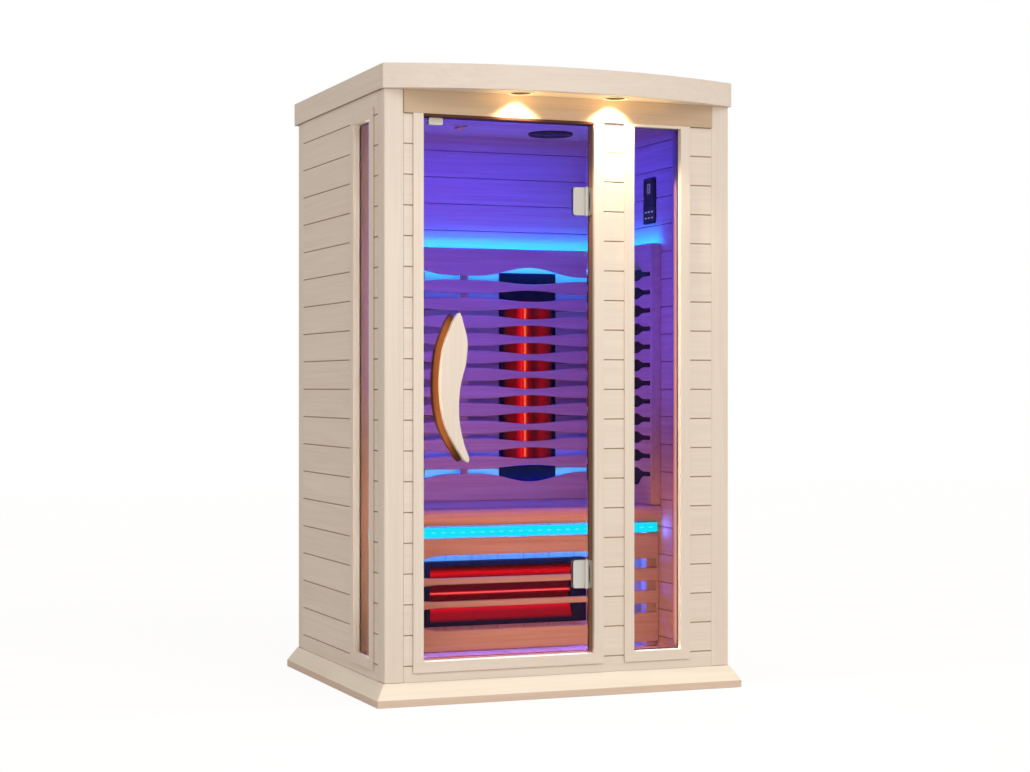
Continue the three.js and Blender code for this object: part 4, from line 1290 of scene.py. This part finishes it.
@dataclass
class Fittings:
    """Light strips, speaker, ceiling lamp and touch panel."""

    speaker_radius: float = 76.0
    # Rings of the speaker's grille: radius of the first, distance kept from the rim, and pitch
    grille_start: float = 28.0
    grille_margin: float = 14.0
    grille_pitch: float = 4.2
    lamp_centre: Flat = (-88.0, 192.0)
    lamp_half: Flat = (15.0, 25.0)
    lamp_border: float = 5.0
    # Levels of the lamp's frame and of its lens under the ceiling
    ceiling: float = 1812.0
    frame_drop: float = 6.0
    lens_drop: float = 8.0
    # The touch panel's window and the bars and keys on it
    window_margin: float = 9.0
    window_bottom: float = 93.0
    bar_half: Flat = (3.5, 1.4)
    bar_top: float = 22.0
    bar_pitch: float = 7.0
    bar_rows: int = 5
    key_half: float = 2.0
    key_pitch: Flat = (24.0, 20.0)

    def build(self, shop: Shop) -> None:
        """Dress the strips and make the small fittings.

        Args:
            shop: where the pieces are dressed and made.
        """
        shop.dress(Glow("azure_light_strip", "#18a8ff", 9.0), "cove_led_strip")
        strip = DashedStrip("cyan_light_strip", "#00e4fc", "#78f4ff", 477.0)
        shop.dress(strip, "bench_led_strip")
        self.speaker(shop)
        self.ceiling_lamp(shop)
        self.touch_panel(shop)

    def speaker(self, shop: Shop) -> None:
        """Make the speaker with a raised rim, a grille of fine rings and a cap.

        Args:
            shop: where the piece is made.
        """
        low, high = [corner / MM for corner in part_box("ceiling_speaker")]
        centre = ((low.x + high.x) / 2, (low.y + high.y) / 2, high.z)
        depth = high.z - low.z
        rim = self.speaker_radius
        profile = [(0, 1.5 - depth), (20, 1.8 - depth), (26, 2.4 - depth)]
        radius = self.grille_start
        while radius < rim - self.grille_margin:
            profile += [
                (radius, 3.6 - depth), (radius + 2, 3.6 - depth), (radius + 2.6, 2.6 - depth),
                (radius + 3.6, 2.6 - depth),
            ]
            radius += self.grille_pitch
        profile += [
            (rim - 12, 2.6 - depth), (rim - 8, 0.4 - depth), (rim - 5, -depth), (rim - 2, 0.8 - depth),
            (rim, 3.0 - depth), (rim, 0), (0, 0),
        ]
        form = bmesh.new()
        turned(form, profile, centre, sides=64)
        shop.piece("round_speaker", form, SPEAKER_ABS, "black_plastic", ("ceiling_speaker",))

    def ceiling_lamp(self, shop: Shop) -> None:
        """Make the small amber lamp under the ceiling: a frame and its lens.

        Args:
            shop: where the pieces are made.
        """
        left, right = [self.lamp_centre[0] + sign * self.lamp_half[0] for sign in (-1, 1)]
        front, back = [self.lamp_centre[1] + sign * self.lamp_half[1] for sign in (-1, 1)]
        step = self.lamp_border
        seat = self.ceiling - self.frame_drop
        form = bmesh.new()
        slab(form, rounded_outline((left, front), (right, back), 5.0), Axis.Z, seat, self.ceiling)
        shop.piece("ceiling_lamp_frame", form, NICKEL_RING, "satin_nickel", rounded=1.0)
        form = bmesh.new()
        outline = rounded_outline((left + step, front + step), (right - step, back - step), 3.0)
        slab(form, outline, Axis.Z, self.ceiling - self.lens_drop, seat)
        lens = Glow("amber_lamp_lens", "#c87850", 0.3, "#8a5a40")
        shop.piece("ceiling_lamp_lens", form, lens, "light_strip", rounded=0.8)

    def touch_panel(self, shop: Shop) -> None:
        """Make the touch panel: a rounded case, a display window with lit bars, and six touch keys.

        Args:
            shop: where the pieces are made.
        """
        low, high = [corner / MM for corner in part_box("control_panel")]
        form = bmesh.new()
        slab(form, rounded_outline((low.y, low.z), (high.y, high.z), 6.0), Axis.X, low.x + 1.0, high.x)
        shop.piece("touch_panel_case", form, BLACK_ABS, "black_plastic", ("control_panel",), rounded=1.5)
        form = bmesh.new()
        inset = self.window_margin
        corners = ((low.y + inset, high.z - self.window_bottom), (high.y - inset, high.z - inset))
        window = rounded_outline(*corners, 3.0)
        slab(form, window, Axis.X, low.x + 0.3, low.x + 1.0)
        shop.piece("touch_panel_display", form, SCREEN, "black_plastic", rounded=0.2)
        middle = (low.y + high.y) / 2
        form = bmesh.new()
        half, rise = self.bar_half
        for row in range(self.bar_rows):
            for column in (-1, 1):
                across = middle + column * (6.0 + row % 2 * 2.5)
                up = high.z - self.bar_top - self.bar_pitch * row
                outline = rounded_outline((across - half, up - rise), (across + half, up + rise), 1.0, 3)
                slab(form, outline, Axis.X, low.x + 0.1, low.x + 0.35)
        shop.piece("touch_panel_bars", form, Glow("display_bars", "#b8a8e8", 0.9), "light_strip")
        form = bmesh.new()
        half = self.key_half
        for column in (-1, 0, 1):
            for row in (1, 2):
                across = middle + self.key_pitch[0] * column
                up = low.z + self.key_pitch[1] * row
                ring = rounded_outline((across - half, up - half), (across + half, up + half), 1.9, 6)
                slab(form, ring, Axis.X, low.x + 0.6, low.x + 1.1)
        shop.piece("touch_keys", form, Glow("lit_touch_keys", "#e0d2f8", 1.5), "ivory_plastic")


class LampKind(Enum):
    """The kinds of lamp that light the scene."""

    SUN = "SUN"
    SPOT = "SPOT"
    AREA = "AREA"
    POINT = "POINT"


@dataclass(frozen=True)
class Lamp:
    """A lamp that lights surfaces but isn't seen itself."""

    name: str
    colour: str
    energy: float
    place: Point
    way: Point = (0.0, 0.0, -1.0)
    size: Flat = (0.0, 0.0)
    # Opening angle of a spot's cone, or the apparent width of a sun, in degrees
    angle: float = 0.0
    # How soft the edge of a spot's cone is
    blend: float = 0.55
    kind: LampKind = LampKind.AREA

    def hang(self) -> None:
        """Put the lamp in the scene."""
        lamp = bpy.data.lights.new(self.name, self.kind.value)
        lamp.color = linear(self.colour)[:3]
        lamp.energy = self.energy
        if self.kind is LampKind.AREA:
            lamp.shape = "RECTANGLE"
            lamp.size, lamp.size_y = [side * MM for side in self.size]
        elif self.kind is LampKind.SUN:
            lamp.angle = math.radians(self.angle)
        else:
            lamp.shadow_soft_size = self.size[0] * MM
        if self.kind is LampKind.SPOT:
            lamp.spot_size = math.radians(self.angle)
            lamp.spot_blend = self.blend
        light = bpy.data.objects.new(self.name, lamp)
        light.location = Vector(self.place) * MM
        light.rotation_euler = Vector(self.way).to_track_quat("-Z", "Y").to_euler()
        light.visible_camera = False
        light.visible_glossy = False
        light.visible_transmission = False
        bpy.context.scene.collection.objects.link(light)


UP = (0.0, 0.0, 1.0)
INWARD = (0.0, 1.0, 0.0)
RIGHT = (1.0, 0.0, 0.0)
# The studio's lamps, then those of the cabin and the coloured light that its boards throw back
LAMPS = (
    Lamp("key", "#f8fbff", 0.78, (0.0, 0.0, 4000.0),
         (-0.30, 0.75, -0.58), angle=34.0, kind=LampKind.SUN),
    Lamp("soft_box", "#f2f8ff", 11.0, (-450.0, -2400.0, 1500.0), (0.05, 1.0, -0.12), (900.0, 1200.0)),
    Lamp("downlight_beam_left", "#ffeccc", 8.5, (-155.0, -520.0, 1830.0),
         size=(14.0, 0.0), angle=112.0, kind=LampKind.SPOT),
    Lamp("downlight_beam_right", "#ffeccc", 14.0, (155.0, -520.0, 1830.0),
         size=(14.0, 0.0), angle=112.0, kind=LampKind.SPOT),
    Lamp("downlight_glow_left", "#ffdc98", 0.14, (-155.0, -528.0, 1798.0),
         size=(12.0, 0.0), kind=LampKind.POINT),
    Lamp("downlight_glow_right", "#ffdc98", 0.14, (155.0, -528.0, 1798.0),
         size=(12.0, 0.0), kind=LampKind.POINT),
    Lamp("soffit_glow", "#ffd078", 0.13, (40.0, -532.0, 1790.0), UP, (620.0, 60.0)),
    Lamp("window_reveal", "#fff0dc", 1.0, (262.0, -466.0, 860.0), RIGHT, (14.0, 1450.0)),
    Lamp("window_inner", "#ffd8d8", 0.2, (386.0, -435.0, 860.0), RIGHT, (14.0, 1450.0)),
    Lamp("door_sill", "#fff2f6", 0.1, (-172.0, -463.0, 140.0), size=(530.0, 12.0)),
    Lamp("window_sill", "#fff0e8", 0.035, (320.0, -463.0, 140.0), size=(150.0, 12.0)),
    Lamp("side_reveal", "#fff4f0", 0.8, (-565.0, -335.0, 940.0), INWARD, (14.0, 1600.0)),
    Lamp("side_window", "#ffd08a", 0.62, (-532.0, -330.0, 940.0), INWARD, (16.0, 1600.0)),
    Lamp("ceiling_wash", "#0029ff", 10.4, (0.0, 0.0, 1795.0), size=(900.0, 700.0)),
    Lamp("ceiling_bounce", "#3c3cff", 4.3, (0.0, 100.0, 1440.0), UP, (800.0, 500.0)),
    Lamp("cove_band", "#005cff", 4.5, (0.0, 395.0, 1428.0), INWARD, (1000.0, 6.0)),
    Lamp("cove_band_right", "#0060ff", 3.2, (495.0, 150.0, 1428.0), RIGHT, (430.0, 6.0)),
    Lamp("slot_high", "#00ffa0", 0.1, (0.0, 402.5, 1324.0), INWARD, (960.0, 40.0)),
    Lamp("slot_low", "#00ffa0", 0.17, (0.0, 402.5, 648.0), INWARD, (960.0, 40.0)),
    Lamp("slot_second", "#1434ff", 0.12, (0.0, 402.5, 1258.0), INWARD, (960.0, 24.0)),
    Lamp("slot_second_low", "#1440ff", 0.36, (0.0, 402.5, 728.0), INWARD, (960.0, 70.0)),
    Lamp("cove_down", "#0054ff", 11.4, (0.0, 410.0, 1384.0), (0.0, 0.12, -1.0), (1000.0, 10.0)),
    Lamp("cove_up", "#0028ff", 9.0, (0.0, 410.0, 590.0), (0.0, 0.12, 1.0), (1000.0, 10.0)),
    Lamp("bench_blue", "#2c76ff", 6.4, (0.0, -30.0, 480.0), (0.0, 0.5, -1.0), (1000.0, 16.0)),
    Lamp("bench_end", "#3c5cff", 0.12, (490.0, -96.0, 477.0), (0.6, -0.8, 0.0), (16.0, 24.0)),
    Lamp("rest_wash", "#5846ff", 8.0, (0.0, -250.0, 1150.0), INWARD, (900.0, 600.0)),
    Lamp("seat_wash", "#005aff", 0.55, (0.0, 170.0, 640.0), size=(900.0, 300.0)),
    Lamp("seat_bounce", "#7058b0", 2.7, (0.0, 60.0, 580.0), (0.0, 0.75, 0.66), (900.0, 200.0)),
    Lamp("handle_light", "#ffc29f", 0.06, (-366.0, -425.0, 942.0), INWARD, (50.0, 420.0)),
    Lamp("handle_edge", "#fff0dc", 0.12, (-440.0, -478.0, 942.0), (1.0, 0.2, 0.0), (14.0, 480.0)),
    Lamp("floor_wash", "#f0c0ff", 0.16, (60.0, -82.0, 100.0), size=(900.0, 40.0)),
    Lamp("kick_glow", "#2838ff", 0.05, (0.0, -69.0, 86.0), INWARD, (1000.0, 8.0)),
    Lamp("under_bench", "#1c30ff", 2.2, (400.0, 60.0, 300.0), size=(20.0, 0.0), kind=LampKind.POINT),
    Lamp("floor_gap", "#a070ff", 0.9, (0.0, -20.0, 150.0), size=(900.0, 24.0)),
    Lamp("nose_light", "#ffb6b0", 1.2, (0.0, -300.0, 560.0), (0.0, 1.0, -0.15), (900.0, 60.0)),
    Lamp("low_fill", "#ffd8c8", 1.05, (90.0, -300.0, 205.0), INWARD, (800.0, 220.0)),
)


@dataclass
class Studio:
    """White studio, the cabin's own lamps and the camera."""

    sky: float = 0.7
    sky_colour: str = "#fffaf7"
    floor_reach: float = 12000.0
    floor_colour: str = "#c8c4c0"
    # The floor's own white where it is seen, and how much of it covers the shaded floor
    floor_glow: float = 1.12
    floor_share: float = 0.8
    lens: float = 72.17
    sensor: float = 36.0
    camera_at: Point = (-2447.2, -6277.4, 944.9)
    camera_turn: float = -21.545
    rise: float = 0.0006
    sight: float = 100.0

    def world(self) -> None:
        """Even white surroundings, pure white where they are seen."""
        world = bpy.data.worlds.new("white_studio")
        world.use_nodes = True
        bpy.context.scene.world = world
        tree = world.node_tree
        back = tree.nodes["Background"]
        seen = self.seen(tree)
        ends = {"Value": seen, "To Min": self.sky, "To Max": 1.0}
        shades = {0: seen, 6: linear(self.sky_colour), 7: linear("#ffffff")}
        colour = add(tree, "ShaderNodeMix", shades, output=2, data_type="RGBA")
        plug(tree, back.inputs["Color"], colour)
        plug(tree, back.inputs["Strength"], add(tree, "ShaderNodeMapRange", ends))

    def seen(self, tree: Tree) -> Socket:
        """Tell the rays that see a surface from the rest: camera, mirror and glass rays.

        Args:
            tree: the node tree to build in.

        Returns:
            A socket that gives 1 for such rays.
        """
        rays = add(tree, "ShaderNodeLightPath").node.outputs
        total = rays["Is Camera Ray"]
        for name in ("Is Glossy Ray", "Is Transmission Ray"):
            total = add(tree, "ShaderNodeMath", {0: total, 1: rays[name]}, operation="MAXIMUM")
        return total

    def floor(self) -> None:
        """White floor that keeps the cabin's soft shadow."""
        reach = self.floor_reach * MM
        mesh = bpy.data.meshes.new("studio_floor")
        corners = [(-reach, -reach, 0), (reach, -reach, 0), (reach, reach, 0), (-reach, reach, 0)]
        mesh.from_pydata(corners, [], [(0, 1, 2, 3)])
        sockets = {"Base Color": linear(self.floor_colour), "Roughness": 0.9}
        material, tree, shader = start_material("white_floor", sockets)
        white = add(tree, "ShaderNodeEmission", {"Strength": self.floor_glow})
        parts = {0: self.seen(tree), 1: self.floor_share}
        share = add(tree, "ShaderNodeMath", parts, operation="MULTIPLY")
        both = add(tree, "ShaderNodeMixShader", {0: share, 1: shader.outputs[0], 2: white})
        plug(tree, tree.nodes["Material Output"].inputs["Surface"], both)
        mesh.materials.append(material)
        floor = bpy.data.objects.new("studio_floor", mesh)
        bpy.context.scene.collection.objects.link(floor)

    def camera(self) -> None:
        """Place the camera at the photograph's viewing angle."""
        lens = bpy.data.cameras.new("photo_camera")
        lens.lens = self.lens
        lens.sensor_width = self.sensor
        lens.shift_y = self.rise
        lens.clip_end = self.sight
        camera = bpy.data.objects.new("photo_camera", lens)
        camera.location = Vector(self.camera_at) * MM
        camera.rotation_euler = (math.radians(90), 0.0, math.radians(self.camera_turn))
        bpy.context.scene.collection.objects.link(camera)
        bpy.context.scene.camera = camera

    def build(self) -> None:
        """Set up the whole studio."""
        bpy.context.scene.view_settings.view_transform = "Standard"
        self.camera()
        self.world()
        self.floor()
        for lamp in LAMPS:
            lamp.hang()


def main() -> None:
    """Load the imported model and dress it."""
    logging.basicConfig(level=logging.INFO, format="%(message)s")
    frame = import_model()
    shop = Shop(frame["nodes"])
    Studio().build()
    Shell().dress(shop)
    Cornice().build(shop)
    Door().build(shop)
    back_rest().build(shop)
    for side, sign in (("left", -1), ("right", 1)):
        side_rest(side, sign).build(shop)
    Bench().build(shop)
    Heaters().build(shop)
    Fittings().build(shop)


if __name__ == "__main__":
    main()
